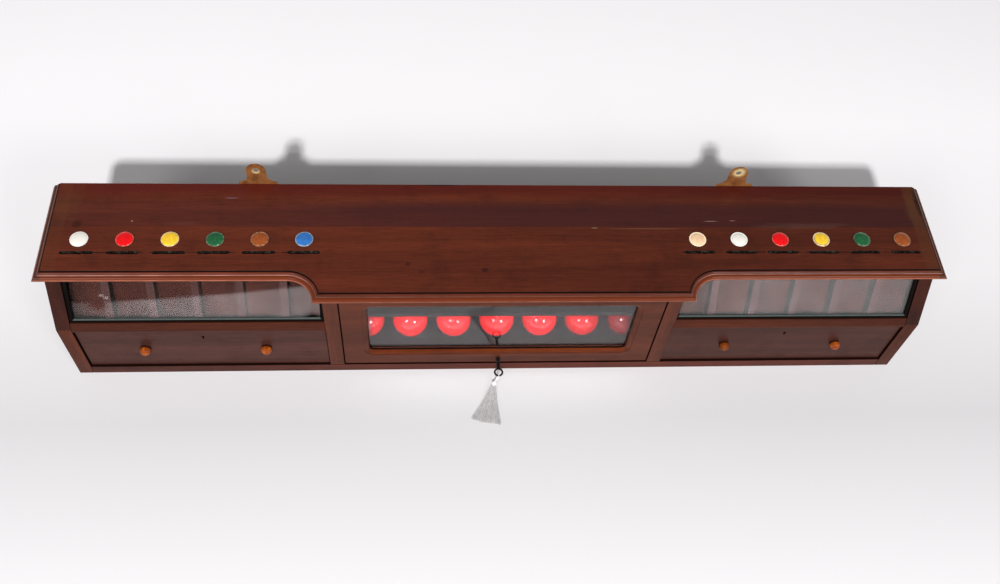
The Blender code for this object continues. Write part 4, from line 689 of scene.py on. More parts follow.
        # The panes carry a painted reflection veil.
        self.window = Glass("window_glass", "window_glass", index=1.18, film=0.049,
                            thin_end=(0.235, 0.37, 0.55))
        self.wiped = Glass("wiped_window_glass", "window_glass", (0.87, 0.87, 0.87), 1.16, 0.049,
                           wiped=(0.136, 0.0776, 0.1602), thin_end=(-0.60, -0.44, 0.25))
        self.pane = Glass("door_glass", "door_glass", index=1.33, film=0.003)
        self.brass = Metal("dark_brass", "dark_brass", (0.64, 0.42, 0.24), (0.47, 0.28, 0.15), 0.42,
                           metallic=0.45, eyes=eyes)
        self.screw = Metal("screw_steel", "lock_steel", (0.42, 0.39, 0.35), (0.24, 0.19, 0.15), 0.4)
        self.hinge = Metal("hinge_brass", "hinge_brass", (0.76, 0.60, 0.34), (0.45, 0.32, 0.17), 0.3)
        self.steel = Metal("lock_steel", "lock_steel", (0.55, 0.54, 0.53), (0.34, 0.30, 0.27), 0.35)
        self.iron = Metal("black_iron", "black_iron", (0.16, 0.15, 0.15), (0.07, 0.06, 0.06), 0.38,
                          metallic=0.8)
        self.ball = Resin("red_ball", "red_ball", (0.93, 0.08, 0.11))
        self.dim_ball = Resin("dim_red_ball", "red_ball", (0.79, 0.045, 0.07))
        # Ball 7 is made the darkest red.
        self.old_ball = Resin("worn_red_ball", "red_ball", (0.52, 0.025, 0.04))
        self.silk = Silk("tassel_silk", "tassel_silk")
        self.white = Silk("tassel_head_silk", "tassel_silk", (0.96, 0.955, 0.95), (0.86, 0.85, 0.85))
        self.discs: dict[str, Enamel] = {}
        self.rims: dict[str, Enamel] = {}
        for name, tone, depth, rim, rim_rough, rim_depth in (
            ("white", (0.925, 0.905, 0.87), 0.97, (0.95, 0.94, 0.92), 0.16, 0.93),
            ("cream", (0.955, 0.80, 0.64), 0.93, (0.99, 0.90, 0.76), 0.3, 0.93),
            ("red", (0.93, 0.05, 0.08), 0.9, (0.90, 0.38, 0.33), 0.3, 0.7),
            ("yellow", (0.99, 0.80, 0.20), 0.9, (0.96, 0.84, 0.62), 0.3, 0.8),
            ("green", (0.13, 0.39, 0.23), 0.8, (0.48, 0.58, 0.46), 0.3, 0.5),
            ("brown", (0.62, 0.31, 0.14), 0.85, (0.74, 0.52, 0.36), 0.3, 0.6),
            ("blue", (0.21, 0.46, 0.76), 0.85, (0.68, 0.76, 0.82), 0.3, 0.7),
        ):
            self.discs[name] = Enamel(f"{name}_disc", f"{name}_disc", tone, 0.16, depth)
            self.rims[name] = Enamel(f"{name}_rim", f"{name}_disc", rim, rim_rough, rim_depth)
        self.made: dict[str, bpy.types.Material] = {}

    def material(self, finish: Finish) -> bpy.types.Material:
        """Material of a finish, mixed the first time that it is asked for."""
        if finish.name not in self.made:
            self.made[finish.name] = finish.make()
        return self.made[finish.name]


@dataclass
class Bench:
    """Place of work of a sub-assembly, which makes, shapes and dresses meshes with Blender's own tools."""

    palette: Palette

    @staticmethod
    def alone(piece: Piece) -> Piece:
        """Make a piece the only selected one, and the active one."""
        bpy.ops.object.select_all(action="DESELECT")
        piece.select_set(True)
        bpy.context.view_layer.objects.active = piece
        return piece

    @contextmanager
    def editing(self, piece: Piece, mode: str = "FACE") -> Iterator[bmesh.types.BMesh]:
        """Edit mode on one piece with nothing selected, in vertex, edge or face mode."""
        self.alone(piece)
        bpy.ops.object.mode_set(mode="EDIT")
        bpy.ops.mesh.select_mode(type=mode)
        bpy.ops.mesh.select_all(action="DESELECT")
        yield bmesh.from_edit_mesh(piece.data)
        bpy.ops.object.mode_set(mode="OBJECT")

    @staticmethod
    def pick(piece: Piece, kind: str, test: Callable[..., bool]) -> None:
        """Select the faces or edges of a piece in edit mode that pass a test.

        Args:
            piece: Piece that is being edited.
            kind: Either faces or edges.
            test: Says whether a face or an edge is wanted.
        """
        mesh = bmesh.from_edit_mesh(piece.data)
        mesh.normal_update()
        for item in getattr(mesh, kind):
            item.select = False
        mesh.select_flush(False)
        for item in getattr(mesh, kind):
            if test(item):
                item.select = True
        mesh.select_flush_mode()
        bmesh.update_edit_mesh(piece.data)

    def block(self, name: str, low: Sequence[float], high: Sequence[float]) -> Piece:
        """Squared block between two corners."""
        low, high = Vector(low), Vector(high)
        bpy.ops.mesh.primitive_cube_add(size=1.0, location=(low + high) / 2, scale=high - low)
        made = self.alone(bpy.context.object)
        made.name = name
        bpy.ops.object.transform_apply(location=True, rotation=True, scale=True)
        return made

    def turned(self, name: str, profile: Sequence[tuple[float, float]], steps: int = 40) -> Piece:
        """Piece turned about +Z, from a profile of radius and height that is drawn point by point.

        Args:
            name: Name of the piece.
            profile: Points from one end of the axis to the other.
            steps: Flats round the piece.

        Returns:
            The closed piece.
        """
        bpy.ops.mesh.primitive_plane_add(size=0.001, location=(0.0, 0.0, 0.0))
        made = self.alone(bpy.context.object)
        made.name = name
        with self.editing(made, "VERT"):
            bpy.ops.mesh.select_all(action="SELECT")
            bpy.ops.mesh.merge(type="CENTER")
            bpy.ops.mesh.select_all(action="SELECT")
            bpy.ops.transform.translate(value=(profile[0][0], 0.0, profile[0][1]))
            for before, after in zip(profile, profile[1:]):
                step = (after[0] - before[0], 0.0, after[1] - before[1])
                bpy.ops.mesh.extrude_region_move(TRANSFORM_OT_translate={"value": step})
            bpy.ops.mesh.select_all(action="SELECT")
            bpy.ops.mesh.spin(steps=steps, angle=math.tau, center=(0.0, 0.0, 0.0), axis=(0.0, 0.0, 1.0))
        self.sew(made)
        return made

    def sew(self, piece: Piece) -> None:
        """Merge a piece's doubled points and turn its faces outwards."""
        with self.editing(piece, "VERT"):
            bpy.ops.mesh.select_all(action="SELECT")
            bpy.ops.mesh.remove_doubles(threshold=MERGE_DISTANCE)
            bpy.ops.mesh.normals_make_consistent(inside=False)

    def put(self, piece: Piece, place: Sequence[float], turn: Sequence[float] = (0.0, 0.0, 0.0)) -> None:
        """Turn a piece by angles about the axes, move it to its place, and settle both in its mesh."""
        self.alone(piece)
        piece.rotation_euler = turn
        piece.location = place
        bpy.ops.object.transform_apply(location=True, rotation=True, scale=True)

    def modify(self, piece: Piece, kind: str, **settings: object) -> None:
        """Add a modifier to a piece, with its settings, and apply it."""
        self.alone(piece)
        bpy.ops.object.modifier_add(type=kind)
        modifier = piece.modifiers[-1]
        for name, value in settings.items():
            setattr(modifier, name, value)
        bpy.ops.object.modifier_apply(modifier=modifier.name)

    def cut(self, piece: Piece, tools: Sequence[Piece]) -> None:
        """Cut tools out of a piece and put the tools away."""
        for tool in tools:
            self.modify(piece, "BOOLEAN", operation="DIFFERENCE", solver="EXACT", object=tool)
            self.alone(tool)
            bpy.ops.object.delete()
        self.alone(piece)

    def ease(self, piece: Piece, width: float) -> None:
        """Round every crisp edge of a piece a little."""
        self.modify(piece, "BEVEL", limit_method="ANGLE", angle_limit=CRISP_ANGLE, width=width,
                    segments=EASE_STEPS, use_clamp_overlap=True)

    def smooth(self, piece: Piece) -> None:
        """Shade a piece smoothly but for its crisp edges, with its broad faces left flat."""
        self.alone(piece)
        bpy.ops.object.shade_smooth_by_angle(angle=CRISP_ANGLE)
        self.modify(piece, "WEIGHTED_NORMAL", mode="FACE_AREA", weight=100, keep_sharp=True)

    def traced(self, node: str, width: float) -> Piece:
        """Copy of a frame node with merged faces and eased edges.

        Args:
            node: Name of the frame node.
            width: Width of the eased edges, none where it is zero.

        Returns:
            The copy, in the node's place.
        """
        mesh = frame["nodes"][node].data.copy()
        mesh.materials.clear()
        made = linked(f"{node}_finished", mesh)
        with self.editing(made, "VERT"):
            bpy.ops.mesh.select_all(action="SELECT")
            bpy.ops.mesh.remove_doubles(threshold=MERGE_DISTANCE)
            bpy.ops.mesh.dissolve_limited(angle_limit=FLAT_ANGLE)
        if width:
            self.ease(made, width)
        self.smooth(made)
        return made

    def dress(self, piece: Piece, finish: Finish, body: str, nodes: Sequence[str] = ()) -> None:
        """Give a piece its finish and its body, and let it stand for frame nodes.

        Args:
            piece: Piece to dress.
            finish: Its main finish.
            body: Body that it rides on.
            nodes: Frame nodes that it replaces.
        """
        material = self.palette.material(finish)
        if piece.data.materials:
            piece.data.materials[0] = material
        else:
            piece.data.materials.append(material)
        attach(piece, body)
        if nodes:
            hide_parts(*nodes)

    def refinish(self, node: str, finish: Finish, body: str, width: float) -> Piece:
        """Eased copy of a frame node in a finish, in the node's stead."""
        made = self.traced(node, width)
        self.dress(made, finish, body, (node,))
        LOG.info("%s refinished", node)
        return made

    def patch(self, piece: Piece, finish: Finish, test: Callable[[Face], bool]) -> None:
        """Give the faces of a piece that pass a test another finish."""
        piece.data.materials.append(self.palette.material(finish))
        index = len(piece.data.materials) - 1
        for polygon in piece.data.polygons:
            if test(polygon):
                polygon.material_index = index


@dataclass
class Camera:
    """Camera at the photograph's place."""

    place: Point = (-0.11641, -0.80897, 1.32257)
    turn_deg: float = 8.487
    down_deg: float = 56.751
    roll_deg: float = 6.892
    lens: float = 36.76
    sensor: float = 36.0

    def build(self) -> None:
        """Make the camera and look through it."""
        turn, down, roll = (math.radians(a) for a in (self.turn_deg, self.down_deg, self.roll_deg))
        ahead = Vector((math.sin(turn) * math.cos(down), math.cos(turn) * math.cos(down), -math.sin(down)))
        level = Vector((math.cos(turn), -math.sin(turn), 0.0))
        upward = level.cross(ahead)
        right = level * math.cos(roll) + upward * math.sin(roll)
        above = upward * math.cos(roll) - level * math.sin(roll)
        data = bpy.data.cameras.new("camera")
        data.lens = self.lens
        data.sensor_width = self.sensor
        camera = linked("camera", data)
        turned = Matrix((right, above, -ahead)).transposed().to_4x4()
        camera.matrix_world = Matrix.Translation(self.place) @ turned
        bpy.context.scene.camera = camera
        LOG.info("camera placed")


@dataclass
class Studio:
    """Pale floor with painted shade, soft lamps and a plain sky."""

    floor_size: float = 14.0
    floor_tones: tuple[tuple[float, float], ...] = (
        (-4.0, 0.750), (-3.0, 0.675), (-2.0, 0.695), (-1.0, 0.780), (-0.70, 0.825),
        (-0.45, 0.895), (-0.17, 0.825), (0.08, 0.93), (0.40, 1.0))
    lamps: tuple[tuple[str, Point, float, float], ...] = (
        ("key_lamp", (-0.5, -3.5, 3.7), 0.24, 262.0),
        ("left_lamp", (-2.1, -3.2, 3.2), 1.2, 36.0),
        ("right_lamp", (2.1, -3.6, 2.9), 1.3, 54.0))
    mirrored: tuple[str, ...] = ("left_lamp", "right_lamp")
    aim: Point = (0.0, 0.0, 0.1)
    sky_levels: tuple[tuple[float, float], ...] = (
        (0.0, 0.95), (0.1, 0.86), (0.3, 0.40), (0.55, 0.16), (1.0, 0.13))

    def lamp(self, name: str, place: Point, size: float, power: float) -> None:
        """Square soft lamp that faces the case, and shows in glossy surfaces only where it is to."""
        data = bpy.data.lights.new(name, "AREA")
        data.shape = "SQUARE"
        data.size = size
        data.energy = power
        lamp = linked(name, data)
        lamp.location = place
        lamp.rotation_euler = (Vector(self.aim) - Vector(place)).to_track_quat("-Z", "Y").to_euler()
        lamp.visible_glossy = name in self.mirrored

    def floor(self) -> None:
        """Floor that the case stands on, painted darker just in front of the case and far in front as painted
        shade.
        """
        bpy.ops.mesh.primitive_plane_add(size=self.floor_size, location=(0.0, 0.0, 0.0))
        floor = bpy.context.object
        floor.name = "floor"
        recipe = Recipe("floor")
        first, last = self.floor_tones[0][0], self.floor_tones[-1][0]
        depth = recipe.sum("DIVIDE", recipe.sum("SUBTRACT", recipe.axis("Y"), first), last - first)
        stops = [((y - first) / (last - first), (tone, 0.99 * tone, 0.998 * tone))
                 for y, tone in self.floor_tones]
        recipe.set(Base_Color=recipe.ramp(depth, stops), Roughness=0.9, Specular_IOR_Level=0.1)
        floor.data.materials.append(recipe.material)

    def sky(self) -> None:
        """Even light from all round, white near the horizon and dim overhead."""
        world = bpy.data.worlds.new("sky")
        bpy.context.scene.world = world
        world.use_nodes = True
        tree = world.node_tree
        background = tree.nodes["Background"]
        split = tree.nodes.new("ShaderNodeSeparateXYZ")
        tree.links.new(tree.nodes.new("ShaderNodeTexCoord").outputs["Generated"], split.inputs[0])
        shade = tree.nodes.new("ShaderNodeValToRGB")
        grade(shade.color_ramp, [(place, (level, level, level, 1.0)) for place, level in self.sky_levels])
        tree.links.new(split.outputs["Z"], shade.inputs["Fac"])
        tree.links.new(shade.outputs["Color"], background.inputs["Color"])

    def build(self) -> None:
        """Make floor, lamps and sky, and set how colours are shown."""
        self.floor()
        for name, place, size, power in self.lamps:
            self.lamp(name, place, size, power)
        self.sky()
        bpy.context.scene.view_settings.view_transform = "Standard"
        LOG.info("studio lit")


@dataclass
class TopBoard(Bench):
    """Top board with its moulded edge, two hollow-cornered bays and twelve coin slots."""

    bay_front: float = -0.06695
    cove_inner_x: float = 0.2509
    moulding_width: float = 0.0105
    cove_steps: int = 16
    ovolo_steps: int = 8
    ovolos: tuple[tuple[tuple[float, float], tuple[float, float]], ...] = (
        ((0.08, 0.17), (0.42, 0.37)), ((0.60, 0.56), (0.31, 0.29)))
    slot_length: float = 0.04305
    slot_width: float = 0.0048
    slot_cuts: int = 14
    slot_taper: float = 0.4
    slots_end: float = 0.58
    ragged: float = 0.0007
    arris: float = 0.0003
    quirk: float = 0.845
    ledge: tuple[float, float] = (0.5385, 0.5575)
    step: tuple[float, float] = (0.12, 0.172)

    def __post_init__(self) -> None:
        """Read the board's corners from the frame."""
        self.low, self.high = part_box("top_board")
        self.thickness = self.high.z - self.low.z

    def profile(self) -> list[tuple[float, float]]:
        """Inset and rise of the moulding, from the fillet at its foot to the flat."""
        shares = [(0.0, 0.15)]
        for start, reach in self.ovolos:
            for step in range(self.ovolo_steps + 1):
                turn = math.pi / 2 * step / self.ovolo_steps
                shares.append((start[0] + reach[0] * (1 - math.cos(turn)),
                               start[1] + reach[1] * math.sin(turn)))
        shares += [(1.0, 0.85), (1.0, 1.0)]
        return [(inset * self.moulding_width, rise * self.thickness) for inset, rise in shares]

    def blank(self) -> Piece:
        """Flat blank at the foot of the moulding, with both bays cut out."""
        foot = self.profile()[0][1]
        board = self.block("top_board_finished", self.low, (self.high.x, self.high.y, self.low.z + foot))
        radius = self.bay_front - self.low.y
        tools = []
        for side in Side:
            near, far = side.value * self.cove_inner_x, side.value * (self.high.x + CUT_OVERRUN)
            low = (min(near, far), self.low.y - radius, self.low.z - CUT_OVERRUN)
            tool = self.block("bay", low, (max(near, far), self.bay_front, self.high.z + CUT_OVERRUN))
            with self.editing(tool, "EDGE"):
                self.pick(tool, "edges", lambda edge: all(
                    abs(v.co.x - near) < MERGE_DISTANCE and abs(v.co.y - self.bay_front) < MERGE_DISTANCE
                    for v in edge.verts))
                bpy.ops.mesh.bevel(offset=radius, segments=self.cove_steps, affect="EDGES")
            tools.append(tool)
        self.cut(board, tools)
        return board

    def inset_place(self, place: Vector, inset: float) -> tuple[float, float]:
        """Where a corner of the blank's outline goes when the outline is inset, the back edge staying.

        Args:
            place: Corner of the blank.
            inset: Distance that the outline moves in.

        Returns:
            New X and Y.
        """
        side = math.copysign(1.0, place.x)
        radius = self.bay_front - self.low.y
        middle = self.cove_inner_x + radius
        reach = Vector((abs(place.x) - middle, place.y - self.low.y))
        if reach.x <= MERGE_DISTANCE and abs(reach.length - radius) < 10 * MERGE_DISTANCE:
            turn = math.atan2(reach.y, -reach.x)
            start = math.asin(inset / (radius + inset))
            turn = start + (math.pi / 2 - start) * turn / (math.pi / 2)
            return (side * (middle - (radius + inset) * math.cos(turn)),
                    self.low.y + (radius + inset) * math.sin(turn))
        back = abs(place.y - self.high.y) < MERGE_DISTANCE
        return side * (abs(place.x) - inset), place.y if back else place.y + inset

    def mould(self, board: Piece) -> None:
        """Raise the moulding by extruding the upper face and drawing each new outline in."""
        steps = self.profile()
        top = steps[0][1] + self.low.z
        with self.editing(board):
            self.pick(board, "faces", lambda f: (
                f.normal.z > SQUARE_ON and f.calc_center_median().z > top - HAIR))
            mesh = bmesh.from_edit_mesh(board.data)
            outline = [corner.co.copy() for corner in next(f for f in mesh.faces if f.select).verts]
            for (_, rise), (inset, next_rise) in zip(steps, steps[1:]):
                lift = {"value": (0.0, 0.0, next_rise - rise)}
                bpy.ops.mesh.extrude_region_move(TRANSFORM_OT_translate=lift)
                mesh = bmesh.from_edit_mesh(board.data)
                corners = next(f for f in mesh.faces if f.select).verts
                for corner, place in zip(corners, outline):
                    corner.co.xy = self.inset_place(place, inset)
                bmesh.update_edit_mesh(board.data)
        self.sew(board)

    def rise(self, share: float) -> float:
        """Height of a share of the board's thickness."""
        return self.low.z + share * self.thickness

    def slot_tools(self) -> list[Piece]:
        """Cutters for the coin slots, with ragged sides."""
        tools = []
        for side in Side:
            openings = [o for o in frame["record"]["physics"]["openings"]
                        if o["name"].startswith(f"{side.label}_slot")]
            for number, opening in enumerate(openings):
                low, high = (Vector(corner) for corner in opening["box_m"])
                middle = (low + high) / 2
                reach = Vector((self.slot_length / 2, self.slot_width / 2, 0.0))
                foot, head = self.low.z - CUT_OVERRUN, self.high.z + CUT_OVERRUN
                tool = self.block("slot", (middle.x - reach.x, middle.y - reach.y, foot),
                                  (middle.x + reach.x, middle.y + reach.y, head))
                with self.editing(tool, "EDGE"):
                    self.pick(tool, "edges", lambda e: abs(e.verts[0].co.x - e.verts[1].co.x) > HAIR)
                    bpy.ops.mesh.subdivide(number_cuts=self.slot_cuts)
                    self.pick(tool, "faces", lambda f: abs(f.normal.x) > SQUARE_ON)
                    bpy.ops.transform.resize(value=(1.0, self.slot_taper, 1.0))
                    bpy.ops.mesh.select_all(action="SELECT")
                    seed = number + 20 * (side is Side.RIGHT)
                    bpy.ops.transform.vertex_random(offset=self.ragged, seed=seed)
                tools.append(tool)
        return tools

    def hinge_tools(self) -> list[Piece]:
        """Cutters for the hinge leaves and knuckles in the underside."""
        tools = []
        for side in Side:
            low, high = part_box(side.node("hinge_case_leaf"))
            edge = Vector((SEAT_GAP, SEAT_GAP, SEAT_GAP))
            start = Vector((low.x, low.y, self.low.z - CUT_OVERRUN))
            tools.append(self.block("leaf", start - edge, high + edge))
        return tools

    def in_slot(self, face: Face) -> bool:
        """Whether a face is a wall of a coin slot."""
        return (abs(face.center.y - self.palette.top.slot_y) < self.slot_width and abs(face.normal.z) < 0.5
                and self.low.z < face.center.z < self.high.z and abs(face.center.x) < self.slots_end)

    def between(self, face: Face, shares: tuple[float, float]) -> bool:
        """Whether a face lies between two shares of the board's thickness."""
        return self.rise(shares[0]) < face.center.z < self.rise(shares[1])

    def build(self) -> None:
        """Make the board and set it in the top board's place."""
        palette = self.palette
        board = self.blank()
        self.mould(board)
        self.ease(board, self.arris)
        self.cut(board, self.hinge_tools())
        self.cut(board, self.slot_tools())
        self.smooth(board)
        self.dress(board, palette.top, "case", ("top_board",))
        flat = self.high.z - self.arris
        # The quirk below the flat is coloured near-black.
        self.patch(board, palette.dirt, lambda face: (
            not self.in_slot(face) and self.rise(self.quirk) < face.center.z < flat))
        # Painted highlights: the ledge, the foot step and the arris of the flat get pale bands for the light that
        # they catch.
        self.patch(board, palette.ledge, lambda face: (
            face.normal.z > SQUARE_ON and self.between(face, self.ledge)))
        self.patch(board, palette.step, lambda face: face.normal.z > 0.3 and self.between(face, self.step))
        self.patch(board, palette.edge, lambda face: (
            0.2 < face.normal.z < 0.97 and face.center.z > flat and not self.in_slot(face)
            and face.center.y < self.high.y - self.moulding_width))
        self.patch(board, palette.lining, self.in_slot)
        LOG.info("top board moulded, with %d faces", len(board.data.polygons))


@dataclass
class ScoreDisc(Bench):
    """Enamelled disc in a thin rim, behind a slot."""

    node: str
    rim_width: float = 0.0011
    broad_rims: tuple[str, ...] = ("right_cream_disc", "right_white_disc", "right_yellow_disc")
    broad_rim: float = 0.0021
    rim_rise: float = 0.0017
    ease_width: float = 0.0004
    inner_ease: float = 0.0003
    flats: int = 48
    dome_steps: int = 8

    def build(self) -> None:
        """Turn the disc and enamel its dome."""
        low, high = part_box(self.node)
        radius = (high.x - low.x) / 2
        height = high.z - low.z
        inner = radius - (self.broad_rim if self.node in self.broad_rims else self.rim_width)
        foot = self.rim_rise - self.ease_width
        profile = [(0.0, 0.0), (radius - self.ease_width, 0.0), (radius, self.ease_width), (radius, foot),
                   (radius - self.ease_width, self.rim_rise), (inner + self.inner_ease, self.rim_rise),
                   (inner, foot)]
        for step in range(1, self.dome_steps + 1):
            turn = math.pi / 2 * step / self.dome_steps
            profile.append((inner * math.cos(turn), foot + (height - foot) * math.sin(turn)))
        disc = self.turned(f"{self.node}_finished", profile, self.flats)
        self.put(disc, ((low.x + high.x) / 2, (low.y + high.y) / 2, low.z))
        self.smooth(disc)
        palette = self.palette
        colour = self.node.split("_")[1]
        self.dress(disc, palette.rims[colour], "case", (self.node,))
        middle = Vector(((low.x + high.x) / 2, (low.y + high.y) / 2))
        self.patch(disc, palette.discs[colour], lambda face: (
            (face.center.xy - middle).length < inner and face.normal.z > 0.1))
        if self.node == "right_yellow_disc":
            self.patch(disc, palette.grime, lambda face: (
                inner - self.ease_width < (face.center.xy - middle).length < inner and face.normal.z > 0.1))
        LOG.info("%s enamelled", self.node)


@dataclass
class Carcass(Bench):
    """Boards of the case: ends, bottom, back, partitions and rails."""

    arris: float = 0.0006
    rail_arris: float = 0.0011
    knee: float = 0.12

    def build(self) -> None:
        """Refinish each board with its own grain."""
        palette = self.palette
        # Painted shade on the inner faces of the ends, the partitions' sides, the rails' undersides and the bottom
        # board's top.
        for side in Side:
            inward = -side.value
            end = self.refinish(side.node("side"), palette.upright, "case", self.arris)
            self.patch(end, palette.soot, lambda face: face.normal.x * inward > SQUARE_ON)
            self.patch(end, palette.shaded, lambda face: (
                face.normal.y < -0.5 and face.center.z > self.knee))
            partition = self.refinish(side.node("partition"), palette.upright, "case", self.arris)
            self.patch(partition, palette.soot, lambda face: abs(face.normal.x) > SQUARE_ON)
            rail = self.refinish(side.node("rail"), palette.rail, "case", self.rail_arris)
            self.patch(rail, palette.soot, lambda face: face.normal.z < -SQUARE_ON)
        bottom = self.refinish("bottom_board", palette.case, "case", self.arris)
        self.patch(bottom, palette.soot, lambda face: face.normal.z > SQUARE_ON)
        self.refinish("back_board", palette.back, "case", self.arris)


@dataclass
class SideWindow(Bench):
    """Sloping pane in its black bead, with the coin magazine behind it."""

    side: Side
    bead_round: float = 0.0021
    dust_slope: float = 0.70
    dust_height: float = 0.140
    divider_depth: float = 0.117

    def build(self) -> None:
        """Dress bead, pane and magazine."""
        palette = self.palette
        bead = self.refinish(self.side.node("glazing_bead"), palette.bead, "case", self.bead_round)
        self.patch(bead, palette.dust, lambda face: (
            face.normal.z > self.dust_slope and face.center.z < self.dust_height))
        magazine = self.refinish(self.side.node("coin_magazine"), palette.inner, "case", BOARD_ARRIS)
        # Painted shade on the dividers' sides and painted light on their front edges.
        self.patch(magazine, palette.cell, lambda face: abs(face.normal.x) > 0.8)
        self.patch(magazine, palette.divider, lambda face: (
            face.normal.y < -0.6 and self.divider_depth < 0.413 * face.center.z - 0.911 * face.center.y))
        pane = palette.wiped if self.side is Side.LEFT else palette.window
        self.refinish(self.side.node("glass"), pane, "case", 0.0)


@dataclass
class Drawer(Bench):
    """Drawer with two turned knobs and a lock."""

    side: Side
    knob_steps: int = 9
    knob_flats: int = 36
    neck_turn_deg: float = -52.0
    foot_depth: float = 0.0036

    @property
    def body(self) -> str:
        """Body that the drawer rides on."""
        return self.side.node("drawer")

    def knob(self, which: str) -> None:
        """Turn one knob: a tenon, a foot, a waisted neck and a round head."""
        node = self.side.node(f"drawer_{which}_knob")
        low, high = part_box(node)
        radius = (high.x - low.x) / 2
        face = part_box(self.side.node("drawer_front"))[0].y
        reach = face - low.y
        tenon = high.y - face
        centre = reach - radius
        profile = [(0.0, -tenon)] + [(share * radius, height) for share, height in (
            (0.39, -tenon), (0.39, SEAT_GAP), (0.90, SEAT_GAP), (0.94, 0.0010), (0.88, 0.0020),
            (0.66, 0.0026), (0.52, 0.0034))]
        start = math.radians(self.neck_turn_deg)
        for step in range(self.knob_steps + 1):
            turn = start + (math.pi / 2 - start) * step / self.knob_steps
            profile.append((radius * math.cos(turn), centre + radius * math.sin(turn)))
        knob = self.turned(f"{node}_finished", profile, self.knob_flats)
        self.put(knob, ((low.x + high.x) / 2, face, (low.z + high.z) / 2), (math.pi / 2, 0.0, 0.0))
        self.smooth(knob)
        dark = self.side is Side.RIGHT and which == "inner"
        finish = self.palette.dark_turned if dark else self.palette.turned
        self.dress(knob, finish, self.body, (node,))
        # Painted shade on the knob's foot against the drawer front.
        self.patch(knob, self.palette.foot, lambda part: part.center.y > face - self.foot_depth)
        LOG.info("%s turned", node)

    def build(self) -> None:
        """Dress the drawer and turn its knobs."""
        palette = self.palette
        wood = palette.drawer if self.side is Side.LEFT else palette.dark_drawer
        front = self.refinish(self.side.node("drawer_front"), wood, self.body, BOARD_ARRIS)
        # Painted shade on the edges of the drawer front.
        self.patch(front, palette.soot, lambda part: max(abs(part.normal.x), abs(part.normal.z)) > SQUARE_ON)
        self.refinish(self.side.node("drawer_box"), palette.box, self.body, BOARD_ARRIS)
        self.refinish(self.side.node("drawer_lock"), palette.steel, self.body, STEEL_ARRIS)
        bolt = self.side.node("drawer_bolt")
        self.refinish(bolt, palette.steel, bolt, STEEL_ARRIS)
        for which in ("inner", "outer"):
            self.knob(which)


@dataclass
class Door(Bench):
    """Glazed door with its hinges, lock and key."""

    sight_foot: float = 0.0502
    sight_head: float = 0.1640
    sight_half: float = 0.1850
    sight_front: float = -0.0813
    sight_band: float = 0.001
    arris: float = 0.0004

    def at_sight(self, face: Face) -> bool:
        """Whether a face is the dark edge round the glass, black paint with painted shade on it."""
        middle = Vector((0.0, (self.sight_foot + self.sight_head) / 2))
        across = Vector((face.center.x, face.center.z)) - middle
        inward = Vector((face.normal.x * math.copysign(1.0, across.x),
                         face.normal.z * math.copysign(1.0, across.y)))
        reach = (self.sight_head - self.sight_foot) / 2 + self.sight_band
        near = abs(across.x) < self.sight_half and abs(across.y) < reach
        return near and face.center.y > self.sight_front and abs(face.normal.y) < 0.5 and min(inward) < -0.3

    def build(self) -> None:
        """Dress the door's pieces."""
        palette = self.palette
        door = self.refinish("door_frame", palette.door, "door", self.arris)
        # Painted light on the upward bottom moulding of the opening.
        self.patch(door, palette.orange, lambda face: (
            face.center.z < self.sight_foot + self.sight_band and abs(face.center.x) < self.sight_half
            and -0.97 < face.normal.y < -0.15 and face.normal.z > 0.2))
        # Black paint with painted shade round the glass.
        self.patch(door, palette.sight, self.at_sight)
        self.refinish("door_glass", palette.pane, "door", 0.0)
        self.refinish("door_lock", palette.steel, "door", STEEL_ARRIS)
        self.refinish("door_bolt", palette.steel, "door_bolt", STEEL_ARRIS)
        for side in Side:
            self.refinish(side.node("hinge_door_leaf"), palette.hinge, "door", 0.0)
            self.refinish(side.node("hinge_case_leaf"), palette.hinge, "case", 0.0)
        self.refinish("key", palette.iron, "key", 0.0)


